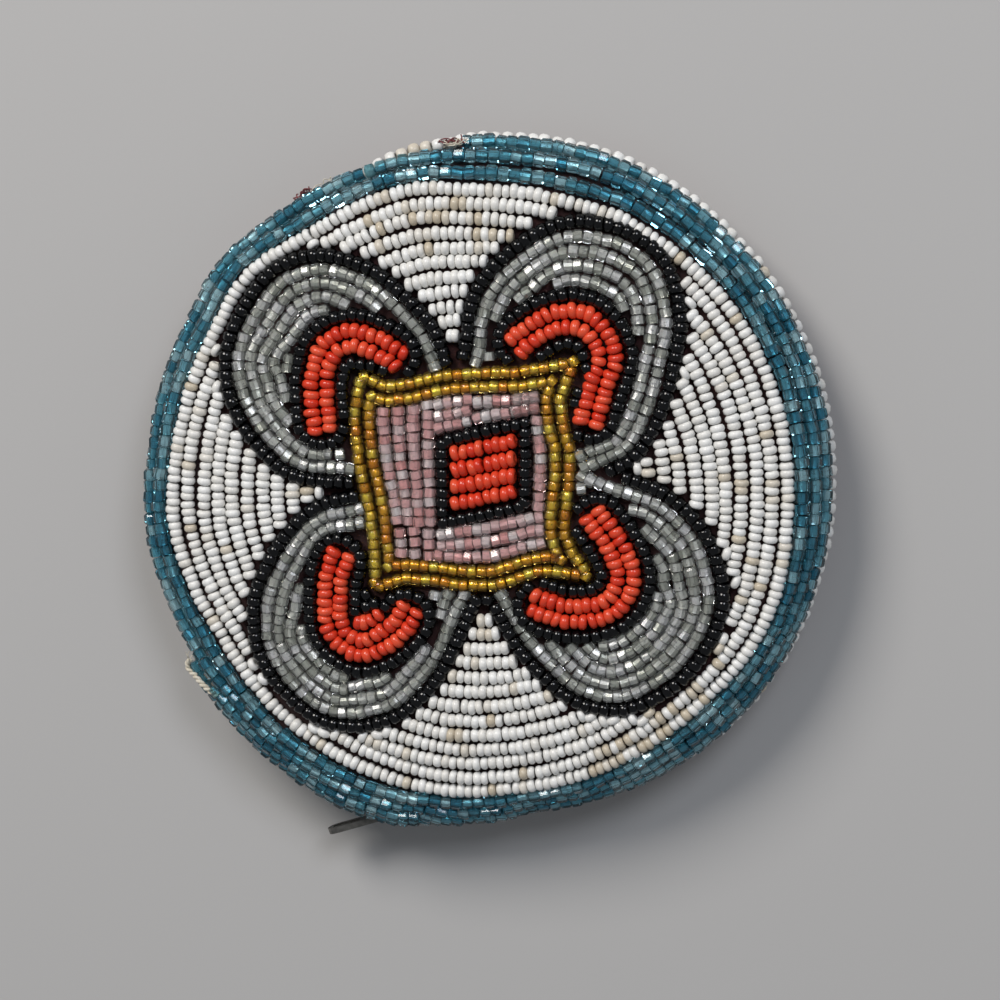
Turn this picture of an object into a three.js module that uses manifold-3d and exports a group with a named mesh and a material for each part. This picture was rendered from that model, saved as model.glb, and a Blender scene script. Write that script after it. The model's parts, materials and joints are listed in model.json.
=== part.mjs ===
// A round coin purse of beaded felt: a domed front panel covered with rows of glass beads in a
// four-petal flower, a plain back panel, a string of edging beads along the closed part of the rim,
// and a zip in the open part. Millimetres, +Z up. The origin is the middle of the flat face that
// the purse lies on, and +Y is the top of the flower.
import * as THREE from "three";
import { mergeVertices } from "three/addons/utils/BufferGeometryUtils.js";
import Module from "manifold-3d";

const wasm = await Module();
wasm.setup();

// Cloth panels
const PANEL_RADIUS = 49.5; // both panels, at the rim seam
const SEAM_HEIGHT = 7.5; // of the rim seam above the rest face
const DOME_RISE = 9; // of the front panel above the seam
const CLOTH = 1.6; // felt with its backing
const REST_RADIUS = 30; // flat part of the back panel
const FRONT_FULLNESS = 3; // exponent of the section: 2 is an ellipse, more is squarer
const BACK_FULLNESS = 2.5;
const CLEARANCE = 0.3; // between pieces that touch

// Bead rows, each as wide as its pitch. The flower is worked in a set number of rows,
// so a wider panel takes wider beads.
const BEAD = PANEL_RADIUS / 23.6; // diameter of a white bead, 2.1
const BEAD_HEIGHT = BEAD; // of the rows above the cloth
const BORDER_ROWS = 3; // blue rows between the ground and the seam
const BORDER_PITCH = 0.98 * BEAD;
const BORDER_MARGIN = 0.1; // bare cloth between the border and the lip of the mouth
const GROUND_PITCH = 1.02 * BEAD; // white rows, concentric with the rim
const GROUND_ROWS = 15;
const OUTLINE_WIDTH = 1.03 * BEAD; // black rows round the petals, the crescents and the centre
const FILL_PITCH = 0.91 * BEAD; // silver rows inside the petals
const FILL_ROWS = 5;
const CRESCENT_PITCH = 1.1 * BEAD; // coral rows, a pair in each petal
const FRAME_PITCH = 0.98 * BEAD; // gold rows, a pair round the field
const FIELD_PITCH = 0.95 * BEAD; // pink rows inside the gold frame
const FIELD_ROWS = 4;
const CENTRE_PITCH = 1.13 * BEAD; // coral rows in the middle
const CENTRE_ROWS = 4;
const CENTRE_LENGTH = 4.65 * BEAD;
const EDGING_BEAD = 0.9 * BEAD; // diameter of the beads along the seam
const EDGING_PITCH = 0.83 * BEAD;
const EDGING_NECK = 0.4; // share of a bead's diameter between two beads

// Rim, in degrees anticlockwise from +X
const MOUTH_FROM = 110; // the open part of the rim
const MOUTH_TO = 279;
const OUTER_ROW_FROM = 213; // the third blue row is left off along part of the mouth
const OUTER_ROW_TO = 457;
const EDGING_FROM = 295;
const EDGING_TO = 467;
const RIM_DEPTH = 5.5; // width of the strip along the rim that isn't quite round
// How far the rim stands out of round, at angles in order: a bulge along the mouth, then a dent
// where the lip curls in past the slider.
const RIM_SHAPE = [[0, 0], [64, 0.4], [90, -0.2], [125, 0.2], [140, 0.9], [153, 0.4], [180, 0.9],
  [201, 1.4], [218, 2.2], [232, 2.5], [245, 2.8], [254, 2.4], [262, 0.7], [270, -0.1], [280, -1.8],
  [292, -1.7], [303, -1.2], [316, -0.6], [340, -0.3]];

// Zip
const CHAIN_INSET = 4.3; // from the panels' inner face at the seam to the chain's middle
const CHAIN_FROM = 133; // first tooth
const TOOTH_PITCH = 5;
const TOOTH_THICKNESS = 1.6;
const TOOTH_REACH = 0.7; // past the chain's middle
const CORD_OFFSET = 1; // from the chain's middle to the cord that the teeth sit on
const CORD_WIDTH = 1;
const TAPE = 0.5;
const TAPE_RISE = 2.8; // tape beyond the cord
const STOP_LENGTH = 1.8;
const STOP_THICKNESS = 2;
const SLIDER_AT = 268;
const SLIDER_LENGTH = 9;
const SLIDER_PLATE = 0.7;
const SLIDER_WALL = 0.5;
const SLIDER_FLARE = 0.3; // the slider is wider at its nose, on each side
const SLIDER_PLAY = 0.45; // between the chain and the slider's plates
const TAPE_SLOT = 1.5; // between the slider's flanges
const DIVIDER_FROM = 0.5; // from the slider's middle to the wedge that parts the chain
const DIVIDER_LENGTH = 3;
const DIVIDER_WIDTH = 1.3;
const BRIDGE_WIDTH = 1.1; // the loop that holds the pull
const BRIDGE_HOLE = 1.1; // radius
const BRIDGE_RING = 0.9;
const BRIDGE_RISE = 0.75; // of the pull's axis above the slider's plate
const PULL_LENGTH = 24;
const PULL_WIDTH = 2.8;
const PULL_THICKNESS = 0.9;
const PULL_LIFT = 20; // degrees that the pull stands off the rim
const WINDOW_LENGTH = 4.5; // of the slot near the pull's tip
const WINDOW_WIDTH = 1.1;

// Facets
const ROUND_STEPS = 40; // round the panels and the rows
const OUTER_STEPS = 6; // along a panel's section, outside
const INNER_STEPS = 4;
const OUTLINE_STEPS = 18; // along a petal
const CRESCENT_STEPS = 8;
const CAP_STEPS = 3; // round each end of a crescent
const EDGING_SIDES = 4;
const CHAIN_STEPS = 16;
const TAPE_STEPS = 3;
const CURVE_STEPS = 5;
const NARROW = 2; // a band of more rows than this has sharp crowns
const MERIDIAN_STEPS = 300;
const CROWN = 0.36; // flat share of a row's top
const VALLEY = 0.5; // share of the bead height at which two rows meet
const MITRE_LIMIT = 0.5; // least cosine at a corner of a band
const LOOP_SLACK = 0.97; // share of a loop's distance that its points must keep

const { degToRad } = THREE.MathUtils;
const { PI } = Math;
const point = (x, y) => new THREE.Vector2(x, y);
const polar = (radius, angle) => point(radius * Math.cos(angle), radius * Math.sin(angle));

// Flower, drawn on a disc whose edge, at 1, is the edge of the white ground.
// Each outline runs anticlockwise round its petal, and each crescent is the line between its two rows.
const PETALS = {
  upper_left: {
    outline: [[-0.1, 0.424], [-0.144, 0.535], [-0.245, 0.641], [-0.358, 0.72], [-0.514, 0.758],
      [-0.668, 0.713], [-0.792, 0.59], [-0.838, 0.427], [-0.816, 0.273], [-0.738, 0.147],
      [-0.612, 0.043], [-0.422, 0.025]],
    crescent: [[-0.509, 0.198], [-0.519, 0.275], [-0.519, 0.371], [-0.488, 0.46], [-0.405, 0.496],
      [-0.322, 0.47], [-0.255, 0.432]],
  },
  upper_right: {
    outline: [[0.436, 0.087], [0.516, 0.136], [0.597, 0.282], [0.639, 0.459], [0.648, 0.587],
      [0.603, 0.736], [0.519, 0.82], [0.407, 0.866], [0.271, 0.872], [0.128, 0.8],
      [-0.001, 0.659], [-0.044, 0.449]],
    crescent: [[0.125, 0.481], [0.197, 0.538], [0.276, 0.568], [0.349, 0.56], [0.4, 0.51],
      [0.421, 0.442], [0.391, 0.348], [0.361, 0.238]],
  },
  lower_left: {
    outline: [[-0.407, -0.019], [-0.539, -0.06], [-0.654, -0.176], [-0.735, -0.324], [-0.756, -0.433],
      [-0.74, -0.557], [-0.673, -0.671], [-0.551, -0.77], [-0.415, -0.795], [-0.263, -0.745],
      [-0.128, -0.609], [-0.002, -0.349]],
    crescent: [[-0.451, -0.213], [-0.475, -0.282], [-0.482, -0.373], [-0.471, -0.472], [-0.392, -0.526],
      [-0.307, -0.49], [-0.25, -0.44], [-0.221, -0.39]],
  },
  lower_right: {
    outline: [[0.063, -0.378], [0.131, -0.5], [0.22, -0.603], [0.326, -0.682], [0.466, -0.704],
      [0.608, -0.644], [0.717, -0.532], [0.785, -0.391], [0.791, -0.257], [0.729, -0.102],
      [0.609, 0.014], [0.428, 0.084]],
    crescent: [[0.378, -0.061], [0.436, -0.137], [0.477, -0.217], [0.481, -0.288], [0.441, -0.352],
      [0.364, -0.384], [0.276, -0.384], [0.187, -0.355]],
  },
};
// The line between the two gold rows, anticlockwise.
const FRAME_LINE = [[0.276, 0.401], [-0.035, 0.368], [-0.364, 0.34], [-0.368, 0.093], [-0.316, -0.286],
  [-0.036, -0.279], [0.32, -0.235], [0.277, 0.079]];
const CENTRE_MIDDLE = [0.022, 0.069];
const CENTRE_SLOPE = 13; // degrees that the middle rows rise to the right
const FLOWER_SIZE = 0.985; // of the drawing on the disc

// Materials
const finish = (color, roughness, metalness = 0) =>
  new THREE.MeshStandardMaterial({ color, roughness, metalness });
const RED_FELT = finish("#6e1f22", 0.95);
const WHITE_GLASS = finish("#e9e6de", 0.3);
const BLUE_GLASS = finish("#3f8199", 0.15);
const BLACK_GLASS = finish("#101012", 0.12);
const SILVER_GLASS = finish("#a9aaa4", 0.15);
const CORAL_GLASS = finish("#d9432c", 0.3);
const GOLD_GLASS = finish("#b98a1e", 0.2);
const PINK_GLASS = finish("#c9a0a0", 0.2);
const TAPE_CLOTH = finish("#4a1719", 0.9);
const NICKEL = finish("#9b9a96", 0.35, 1);

// Solids and meshes

// A closed geometry as a solid that can be joined and cut.
function solidOf(geometry) {
  const bare = geometry.clone();
  bare.deleteAttribute("normal");
  bare.deleteAttribute("uv");
  const merged = mergeVertices(bare);
  return new wasm.Manifold(
    new wasm.Mesh({
      numProp: 3,
      vertProperties: new Float32Array(merged.attributes.position.array),
      triVerts: new Uint32Array(merged.index.array),
    }),
  );
}

function geometryOf(solid) {
  const mesh = solid.getMesh();
  const geometry = new THREE.BufferGeometry();
  geometry.setAttribute("position", new THREE.BufferAttribute(mesh.vertProperties, mesh.numProp));
  geometry.setIndex(new THREE.BufferAttribute(mesh.triVerts, 1));
  geometry.computeVertexNormals();
  return geometry;
}

// The main body of a cut solid, without the slivers that a cut leaves beside it.
const mainBody = (solid) => solid.decompose().reduce((a, b) => (a.volume() > b.volume() ? a : b));

function mesh(name, geometry, material) {
  const made = new THREE.Mesh(geometry, material.clone());
  made.name = name;
  return made;
}

// A solid through rings of points that follow one another. The section, drawn anticlockwise, closes
// the two ends. Without one the last ring joins the first.
function loft(rings, section) {
  const size = rings[0].length;
  const spans = section ? rings.length - 1 : rings.length;
  const index = [];
  for (let i = 0; i < spans; i++) {
    const a = i * size;
    const b = ((i + 1) % rings.length) * size;
    for (let j = 0; j < size; j++) {
      const k = (j + 1) % size;
      index.push(a + j, a + k, b + k, a + j, b + k, b + j);
    }
  }
  if (section) {
    const last = (rings.length - 1) * size;
    for (const [p, q, r] of THREE.ShapeUtils.triangulateShape(section, [])) {
      index.push(r, q, p, last + p, last + q, last + r);
    }
  }
  const geometry = new THREE.BufferGeometry();
  const position = rings.flat().flatMap((p) => [p.x, p.y, p.z]);
  geometry.setAttribute("position", new THREE.Float32BufferAttribute(position, 3));
  geometry.setIndex(index);
  return geometry;
}

// A section in radius and height, turned about Z from one angle to another, both in degrees.
function turned(section, from, to, steps) {
  const rings = [];
  for (let i = 0; i <= steps; i++) {
    const angle = degToRad(to + ((from - to) * i) / steps);
    rings.push(section.map((p) => new THREE.Vector3(p.x * Math.cos(angle), p.x * Math.sin(angle), p.y)));
  }
  return loft(rings, section);
}

// A section in radius and height, turned all the way round.
const revolved = (section) =>
  new THREE.LatheGeometry([...section, section[0]], ROUND_STEPS).rotateX(PI / 2);

// A flat outline made a prism that passes through the whole front panel.
function prism(outline) {
  const depth = DOME_RISE + 2 * BEAD_HEIGHT;
  return new THREE.ExtrudeGeometry(new THREE.Shape(outline), { depth, bevelEnabled: false })
    .translate(0, 0, SEAM_HEIGHT);
}

// Front panel: its outer face, and places along a line from its middle to the seam

const squircle = (share, power) => Math.max(0, 1 - Math.min(share, 1) ** power) ** (1 / power);

const domeHeight = (radius) => SEAM_HEIGHT + DOME_RISE * squircle(radius / PANEL_RADIUS, FRONT_FULLNESS);

// Points of a panel's section from its middle to its rim, as radius and distance from the seam plane.
function panelCurve(radius, rise, flat, fullness, steps) {
  const points = flat > 0 ? [point(0, rise)] : [];
  for (let i = 0; i <= steps; i++) {
    const turn = (PI / 2) * (1 - i / steps);
    const out = Math.max(0, Math.cos(turn)) ** (2 / fullness);
    points.push(point(flat + (radius - flat) * (i ? out : 0), rise * Math.sin(turn) ** (2 / fullness)));
  }
  return points;
}

const meridian = panelCurve(PANEL_RADIUS, DOME_RISE, 0, FRONT_FULLNESS, MERIDIAN_STEPS);
const arcs = [0];
for (let i = 1; i < meridian.length; i++) {
  arcs.push(arcs[i - 1] + meridian[i].distanceTo(meridian[i - 1]));
}
const PANEL_ARC = arcs[arcs.length - 1];

// The point at a length along the meridian, lifted off the cloth along its normal.
function onMeridian(arc, lift) {
  const next = Math.max(1, arcs.findIndex((length) => length >= Math.min(arc, PANEL_ARC)));
  const share = (arc - arcs[next - 1]) / (arcs[next] - arcs[next - 1]);
  const at = meridian[next - 1].clone().lerp(meridian[next], share);
  const along = meridian[next].clone().sub(meridian[next - 1]).normalize();
  return point(at.x - along.y * lift, SEAM_HEIGHT + at.y + along.x * lift);
}

const MOUTH_HALF = PULL_WIDTH / 2 + CLEARANCE; // from the seam plane to each lip of the mouth
const GROUND_ARC = PANEL_ARC - MOUTH_HALF - BORDER_MARGIN - BORDER_ROWS * BORDER_PITCH;
const GROUND_RADIUS = onMeridian(GROUND_ARC, 0).x;
const placed = ([x, y]) => point(x, y).multiplyScalar(FLOWER_SIZE * GROUND_RADIUS);

// Top of a band of bead rows from its left to its right: place across the band, and height.
function rowTops(rows, pitch) {
  const crown = rows > NARROW ? [0.5] : [0.5 - CROWN / 2, 0.5 + CROWN / 2];
  const tops = [];
  for (let row = 0; row < rows; row++) {
    if (row) tops.push([row * pitch, VALLEY * BEAD_HEIGHT]);
    tops.push(...crown.map((share) => [(row + share) * pitch, BEAD_HEIGHT]));
  }
  return tops;
}

// Section of a band of rows that lies on the front panel round its middle.
function ringSection(fromArc, rows, pitch) {
  const low = fromArc + CLEARANCE / 2;
  const high = fromArc + rows * pitch - CLEARANCE / 2;
  const spans = Math.ceil(rows / 2);
  const soles = Array.from({ length: spans + 1 }, (_, i) =>
    onMeridian(low + ((high - low) * i) / spans, CLEARANCE),
  );
  const tops = rowTops(rows, pitch).map(([across, height]) => onMeridian(fromArc + across, height));
  return [...soles, ...tops.reverse()];
}

// Section of a band of rows that follows a line: place left of the line, and height over the cloth.
function bandSection(start, rows, pitch) {
  const left = start + CLEARANCE / 2;
  const right = start + rows * pitch - CLEARANCE / 2;
  const soles = [point(left, CLEARANCE), point(right, CLEARANCE)];
  if (rows > NARROW) soles.splice(1, 0, point((left + right) / 2, CLEARANCE));
  const tops = rowTops(rows, pitch).map(([across, height]) => point(start + across, height));
  return [...soles, ...tops.reverse()];
}

// A line's points with their left normals, lengthened at corners so that a band keeps its width.
function withNormals(line, closed) {
  const count = line.length;
  return line.map((at, i) => {
    const before = closed ? line[(i + count - 1) % count] : line[Math.max(i - 1, 0)];
    const after = closed ? line[(i + 1) % count] : line[Math.min(i + 1, count - 1)];
    const into = (i || closed ? at.clone().sub(before) : after.clone().sub(at)).normalize();
    const outOf = (i < count - 1 || closed ? after.clone().sub(at) : at.clone().sub(before)).normalize();
    const normal = point(-into.y - outOf.y, into.x + outOf.x).normalize();
    return { at, normal: normal.divideScalar(Math.max(MITRE_LIMIT, normal.dot(point(-outOf.y, outOf.x)))) };
  });
}

// A band of rows along a line on the front panel.
function band(line, section, closed = false) {
  const rings = withNormals(line, closed).map(({ at, normal }) =>
    section.map((p) => {
      const { x, y } = at.clone().addScaledVector(normal, p.x);
      return new THREE.Vector3(x, y, domeHeight(Math.hypot(x, y)) + p.y);
    }),
  );
  return loft(rings, closed ? null : section);
}

const offsetLine = (line, distance, closed) =>
  withNormals(line, closed).map(({ at, normal }) => at.clone().addScaledVector(normal, distance));

const smooth = (points, steps) => new THREE.SplineCurve(points.map(placed)).getSpacedPoints(steps);

// A closed line at one distance all round an open line, with round ends, anticlockwise.
function loopAround(line, distance) {
  const clear = (p) => line.every((q) => p.distanceTo(q) > LOOP_SLACK * distance);
  const ends = withNormals(line, false);
  const cap = (end, turn) =>
    Array.from({ length: CAP_STEPS - 1 }, (_, i) => {
      const angle = Math.atan2(end.normal.y, end.normal.x) + turn + (PI * (i + 1)) / CAP_STEPS;
      return end.at.clone().add(polar(distance, angle));
    });
  return [
    ...offsetLine(line, -distance, false).filter(clear),
    ...cap(ends[ends.length - 1], PI),
    ...offsetLine(line, distance, false).filter(clear).reverse(),
    ...cap(ends[0], 0),
  ];
}

// How far the rim stands out of round at an angle in degrees.
function rimPush(angle) {
  const next = RIM_SHAPE.findIndex(([at]) => at > angle);
  const [from, low] = RIM_SHAPE.at(next < 0 ? -1 : next - 1);
  const [to, high] = next < 0 ? [360, RIM_SHAPE[0][1]] : RIM_SHAPE[next];
  return THREE.MathUtils.lerp(low, high, THREE.MathUtils.smoothstep(angle, from, to));
}

// A round geometry with its rim pushed to the shape of the purse.
function shaped(geometry) {
  const { position } = geometry.attributes;
  const at = new THREE.Vector3();
  for (let i = 0; i < position.count; i++) {
    at.fromBufferAttribute(position, i);
    const radius = Math.hypot(at.x, at.y);
    const angle = (THREE.MathUtils.radToDeg(Math.atan2(at.y, at.x)) + 360) % 360;
    const rim = THREE.MathUtils.smoothstep(radius, PANEL_RADIUS - RIM_DEPTH, PANEL_RADIUS);
    const grow = radius > 0 ? 1 + (rim * rimPush(angle)) / radius : 1;
    position.setXYZ(i, at.x * grow, at.y * grow, at.z);
  }
  return geometry;
}

// Panels

// The strip that is left off both panels along the mouth.
const mouth = solidOf(
  turned(
    [
      point(PANEL_RADIUS - CLOTH - CHAIN_INSET, SEAM_HEIGHT - MOUTH_HALF),
      point(PANEL_RADIUS + CLOTH, SEAM_HEIGHT - MOUTH_HALF),
      point(PANEL_RADIUS + CLOTH, SEAM_HEIGHT + MOUTH_HALF),
      point(PANEL_RADIUS - CLOTH - CHAIN_INSET, SEAM_HEIGHT + MOUTH_HALF),
    ],
    MOUTH_FROM,
    MOUTH_TO,
    ROUND_STEPS / 2,
  ),
);

// The two faces of each panel. Side +1 is the front, -1 the back.
function panelFaces(side) {
  const [rise, flat, fullness] =
    side > 0 ? [DOME_RISE, 0, FRONT_FULLNESS] : [SEAM_HEIGHT, REST_RADIUS, BACK_FULLNESS];
  return {
    outer: panelCurve(PANEL_RADIUS, rise, flat, fullness, OUTER_STEPS),
    inner: panelCurve(PANEL_RADIUS - CLOTH, rise - CLOTH, flat, fullness, INNER_STEPS),
  };
}

// A shell of cloth on one side of the seam plane.
function panel(side) {
  const place = (p) => point(p.x, SEAM_HEIGHT + side * Math.max(p.y, CLEARANCE / 2));
  const { outer, inner } = panelFaces(side);
  const section = side > 0 ? [...inner, ...outer.reverse()] : [...outer, ...inner.reverse()];
  const shell = new THREE.LatheGeometry(section.map(place), ROUND_STEPS).rotateX(PI / 2);
  return geometryOf(solidOf(shell).subtract(mouth));
}

// Beadwork of the front panel, laid from the middle outwards. Each piece is cut back
// from the ground that those before it take up.

const purse = new THREE.Group();
const laid = [];
const half = CLEARANCE / 2;

function lay(name, piece, material, ...grounds) {
  const cut = laid.reduce((left, taken) => left.subtract(taken), piece);
  purse.add(mesh(name, shaped(geometryOf(mainBody(cut))), material));
  laid.push(...grounds.map((outline) => solidOf(prism(outline))));
}

// One black row along a line.
const outlined = (line, closed) =>
  solidOf(band(line, bandSection(-OUTLINE_WIDTH / 2, 1, OUTLINE_WIDTH), closed));

// The ground between two distances left of a line.
const strip = (line, from, to) => [
  ...offsetLine(line, from, false),
  ...offsetLine(line, to, false).reverse(),
];

// The centre rows rise to the right and end in line above each other.
function layCentre() {
  const slope = degToRad(CENTRE_SLOPE);
  const reach = (CENTRE_ROWS * CENTRE_PITCH) / 2;
  const corners = (margin) => {
    const across = CENTRE_LENGTH / 2 + margin;
    const up = reach / Math.cos(slope) + margin;
    const rise = across * Math.tan(slope);
    const around = [point(across, up + rise), point(-across, up - rise)];
    return [...around, ...around.map((p) => p.clone().negate())].map((p) => p.add(placed(CENTRE_MIDDLE)));
  };
  const run = polar(CENTRE_LENGTH, slope);
  const line = [placed(CENTRE_MIDDLE).sub(run), placed(CENTRE_MIDDLE).add(run)];
  const rows = solidOf(band(line, bandSection(-reach, CENTRE_ROWS, CENTRE_PITCH)));
  lay("centre_rows", rows.intersect(solidOf(prism(corners(-half)))), CORAL_GLASS);
  const outline = outlined(corners(OUTLINE_WIDTH / 2), true);
  lay("centre_outline", outline, BLACK_GLASS, corners(OUTLINE_WIDTH + half));
}

function layFrame() {
  const line = FRAME_LINE.map(placed);
  const pink = solidOf(band(line, bandSection(FRAME_PITCH, FIELD_ROWS, FIELD_PITCH), true));
  const gold = solidOf(band(line, bandSection(-FRAME_PITCH, 2, FRAME_PITCH), true));
  lay("pink_field", pink, PINK_GLASS);
  lay("gold_frame", gold, GOLD_GLASS, offsetLine(line, -FRAME_PITCH - half, true));
}

function layCrescent(name, points) {
  const line = smooth(points, CRESCENT_STEPS);
  const [first, second] = line;
  const [last, previous] = [...line].reverse();
  const longer = [
    first.clone().add(first.clone().sub(second).setLength(CRESCENT_PITCH)),
    ...line,
    last.clone().add(last.clone().sub(previous).setLength(CRESCENT_PITCH)),
  ];
  const rows = solidOf(band(longer, bandSection(-CRESCENT_PITCH, 2, CRESCENT_PITCH)));
  const rounded = rows.intersect(solidOf(prism(loopAround(line, CRESCENT_PITCH - half))));
  const loop = loopAround(line, CRESCENT_PITCH + OUTLINE_WIDTH / 2);
  lay(`crescent_${name}`, rounded, CORAL_GLASS);
  lay(
    `crescent_outline_${name}`,
    outlined(loop, true),
    BLACK_GLASS,
    loopAround(line, CRESCENT_PITCH + OUTLINE_WIDTH + half),
  );
}

function layPetalOutline(name, line) {
  const reach = OUTLINE_WIDTH / 2 + half;
  lay(`petal_outline_${name}`, outlined(line, false), BLACK_GLASS, strip(line, -reach, reach));
}

function layPetalFill(name, line) {
  const rows = solidOf(band(line, bandSection(OUTLINE_WIDTH / 2, FILL_ROWS, FILL_PITCH)));
  lay(`petal_fill_${name}`, rows, SILVER_GLASS, line);
}

layCentre();
layFrame();
const petals = Object.entries(PETALS);
const petalLines = petals.map(([name, petal]) => [name, smooth(petal.outline, OUTLINE_STEPS)]);
petals.forEach(([name, petal]) => layCrescent(name, petal.crescent));
petalLines.forEach(([name, line]) => layPetalOutline(name, line));
petalLines.forEach(([name, line]) => layPetalFill(name, line));
const groundStart = GROUND_ARC - GROUND_ROWS * GROUND_PITCH;
lay("white_ground", solidOf(revolved(ringSection(groundStart, GROUND_ROWS, GROUND_PITCH))), WHITE_GLASS);

// Border and edging of the rim

const borderSection = (row) => ringSection(GROUND_ARC + row * BORDER_PITCH, 1, BORDER_PITCH);
const outerSpan = OUTER_ROW_TO - OUTER_ROW_FROM;
const outerSteps = Math.round((outerSpan / 360) * ROUND_STEPS);
purse.add(
  mesh("border_row_1", shaped(revolved(borderSection(0))), BLUE_GLASS),
  mesh("border_row_2", shaped(revolved(borderSection(1))), BLUE_GLASS),
  mesh(
    "border_row_3",
    shaped(turned(borderSection(2), OUTER_ROW_FROM, OUTER_ROW_TO, outerSteps)),
    BLUE_GLASS,
  ),
);

// The edging is one string: each bead is a belly between two necks.
function edging() {
  const radius = PANEL_RADIUS + CLEARANCE + EDGING_BEAD / 2;
  const from = degToRad(EDGING_FROM);
  const to = degToRad(EDGING_TO);
  const beads = Math.floor(((to - from) * radius) / EDGING_PITCH);
  const round = Array.from({ length: EDGING_SIDES }, (_, i) => polar(1, (2 * PI * i) / EDGING_SIDES));
  const rings = [];
  for (let i = 0; i <= 2 * beads; i++) {
    const angle = to + ((from - to) * i) / (2 * beads);
    const size = (EDGING_BEAD / 2) * (i % 2 ? 1 : EDGING_NECK);
    rings.push(
      round.map((p) => {
        const { x, y } = polar(radius + size * p.x, angle);
        return new THREE.Vector3(x, y, SEAM_HEIGHT + size * p.y);
      }),
    );
  }
  return loft(rings, round);
}

// Zip. Each half lies on one side of the seam plane: +1 is the front, -1 the back.

const CHAIN_RADIUS = PANEL_RADIUS - CLOTH - CHAIN_INSET;
const degreesOf = (length) => THREE.MathUtils.radToDeg(length / CHAIN_RADIUS);
const CORD_TO = SLIDER_AT + degreesOf(SLIDER_LENGTH / 2 + CLEARANCE);
const STOP_FROM = CHAIN_FROM - degreesOf(STOP_LENGTH + CLEARANCE);
const STOP_TO = CORD_TO + degreesOf(STOP_LENGTH + CLEARANCE);
const TAPE_FROM = CORD_OFFSET + CORD_WIDTH + CLEARANCE; // distance from the seam plane

// A block of the zip: from one angle to another, and between two distances from the seam plane.
function block(side, from, to, low, high, thickness, steps) {
  const inside = CHAIN_RADIUS - thickness / 2;
  const outside = CHAIN_RADIUS + thickness / 2;
  const [bottom, top] = [SEAM_HEIGHT + side * low, SEAM_HEIGHT + side * high].sort((a, b) => a - b);
  const section = [point(inside, bottom), point(outside, bottom), point(outside, top), point(inside, top)];
  return turned(section, from, to, steps);
}

// Half of the chain: a cord with teeth that reach past the middle between those of the other half.
function chainHalf(side) {
  const cord = [CORD_OFFSET, CORD_OFFSET + CORD_WIDTH];
  const parts = [solidOf(block(side, CHAIN_FROM, CORD_TO, ...cord, TOOTH_THICKNESS, CHAIN_STEPS))];
  const pitch = degreesOf(TOOTH_PITCH);
  const length = degreesOf(TOOTH_PITCH / 2 - CLEARANCE);
  const end = SLIDER_AT + degreesOf(DIVIDER_FROM - CLEARANCE);
  const start = CHAIN_FROM + (side > 0 ? 0 : pitch / 2);
  for (let at = start; at + length < end; at += pitch) {
    const tooth = block(side, at, at + length, -TOOTH_REACH, cord[0] + CORD_WIDTH / 2, TOOTH_THICKNESS, 1);
    parts.push(solidOf(tooth));
  }
  return geometryOf(wasm.Manifold.union(parts));
}

// Tape: it leaves the cord straight, then lies along the inner face of its panel.
function tape(side) {
  const { inner } = panelFaces(side);
  const face = [];
  for (let i = 0; i <= TAPE_STEPS; i++) {
    const away = TAPE_FROM + (TAPE_RISE * i) / TAPE_STEPS;
    const next = inner.findIndex((p) => p.y <= away);
    const share = (away - inner[next].y) / (inner[next - 1].y - inner[next].y);
    const cloth = inner[next].clone().lerp(inner[next - 1], share).x - 2 * CLEARANCE;
    face.push(point(Math.min(CHAIN_RADIUS + TAPE / 2, cloth), SEAM_HEIGHT + side * away));
  }
  const section = [...face, ...offsetLine(face, side * TAPE, false).reverse()];
  if (side < 0) section.reverse();
  return turned(section, STOP_FROM, STOP_TO, CHAIN_STEPS);
}

// Slider, drawn with X along the chain towards its closed end, Y up and Z out of the rim.
const PLATE_FROM = TOOTH_THICKNESS / 2 + SLIDER_PLAY;
const PLATE_TO = PLATE_FROM + SLIDER_PLATE;
const SLIDER_HALF = CORD_OFFSET + CORD_WIDTH + CLEARANCE + SLIDER_WALL;
const PIVOT = PLATE_TO + BRIDGE_RISE; // of the pull's axis above the chain

function extruded(outline, from, to) {
  const shape = outline instanceof THREE.Shape ? outline : new THREE.Shape(outline);
  const options = { depth: to - from, bevelEnabled: false, curveSegments: CURVE_STEPS };
  return solidOf(new THREE.ExtrudeGeometry(shape, options).translate(0, 0, from));
}

function sliderBody() {
  const end = SLIDER_LENGTH / 2;
  const nose = SLIDER_HALF + SLIDER_FLARE;
  const plate = [point(-end, -SLIDER_HALF), point(end, -nose), point(end, nose), point(-end, SLIDER_HALF)];
  const flange = (side) => [
    point(-end, side * SLIDER_HALF),
    point(end, side * nose),
    point(end, side * (nose - SLIDER_WALL)),
    point(-end, side * (SLIDER_HALF - SLIDER_WALL)),
  ];
  const middle = DIVIDER_FROM + DIVIDER_LENGTH / 2;
  const divider = [
    point(DIVIDER_FROM, 0),
    point(middle, -DIVIDER_WIDTH / 2),
    point(DIVIDER_FROM + DIVIDER_LENGTH, 0),
    point(middle, DIVIDER_WIDTH / 2),
  ];
  const parts = [extruded(divider, -PLATE_TO, PLATE_TO), bridge()];
  for (const [from, to] of [[-PLATE_TO, -PLATE_FROM], [PLATE_FROM, PLATE_TO]]) {
    parts.push(extruded(plate, from, to));
    const [low, high] = from < 0 ? [from, -TAPE_SLOT / 2] : [TAPE_SLOT / 2, to];
    parts.push(extruded(flange(1), low, high), extruded(flange(-1), low, high));
  }
  return geometryOf(wasm.Manifold.union(parts));
}

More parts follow.
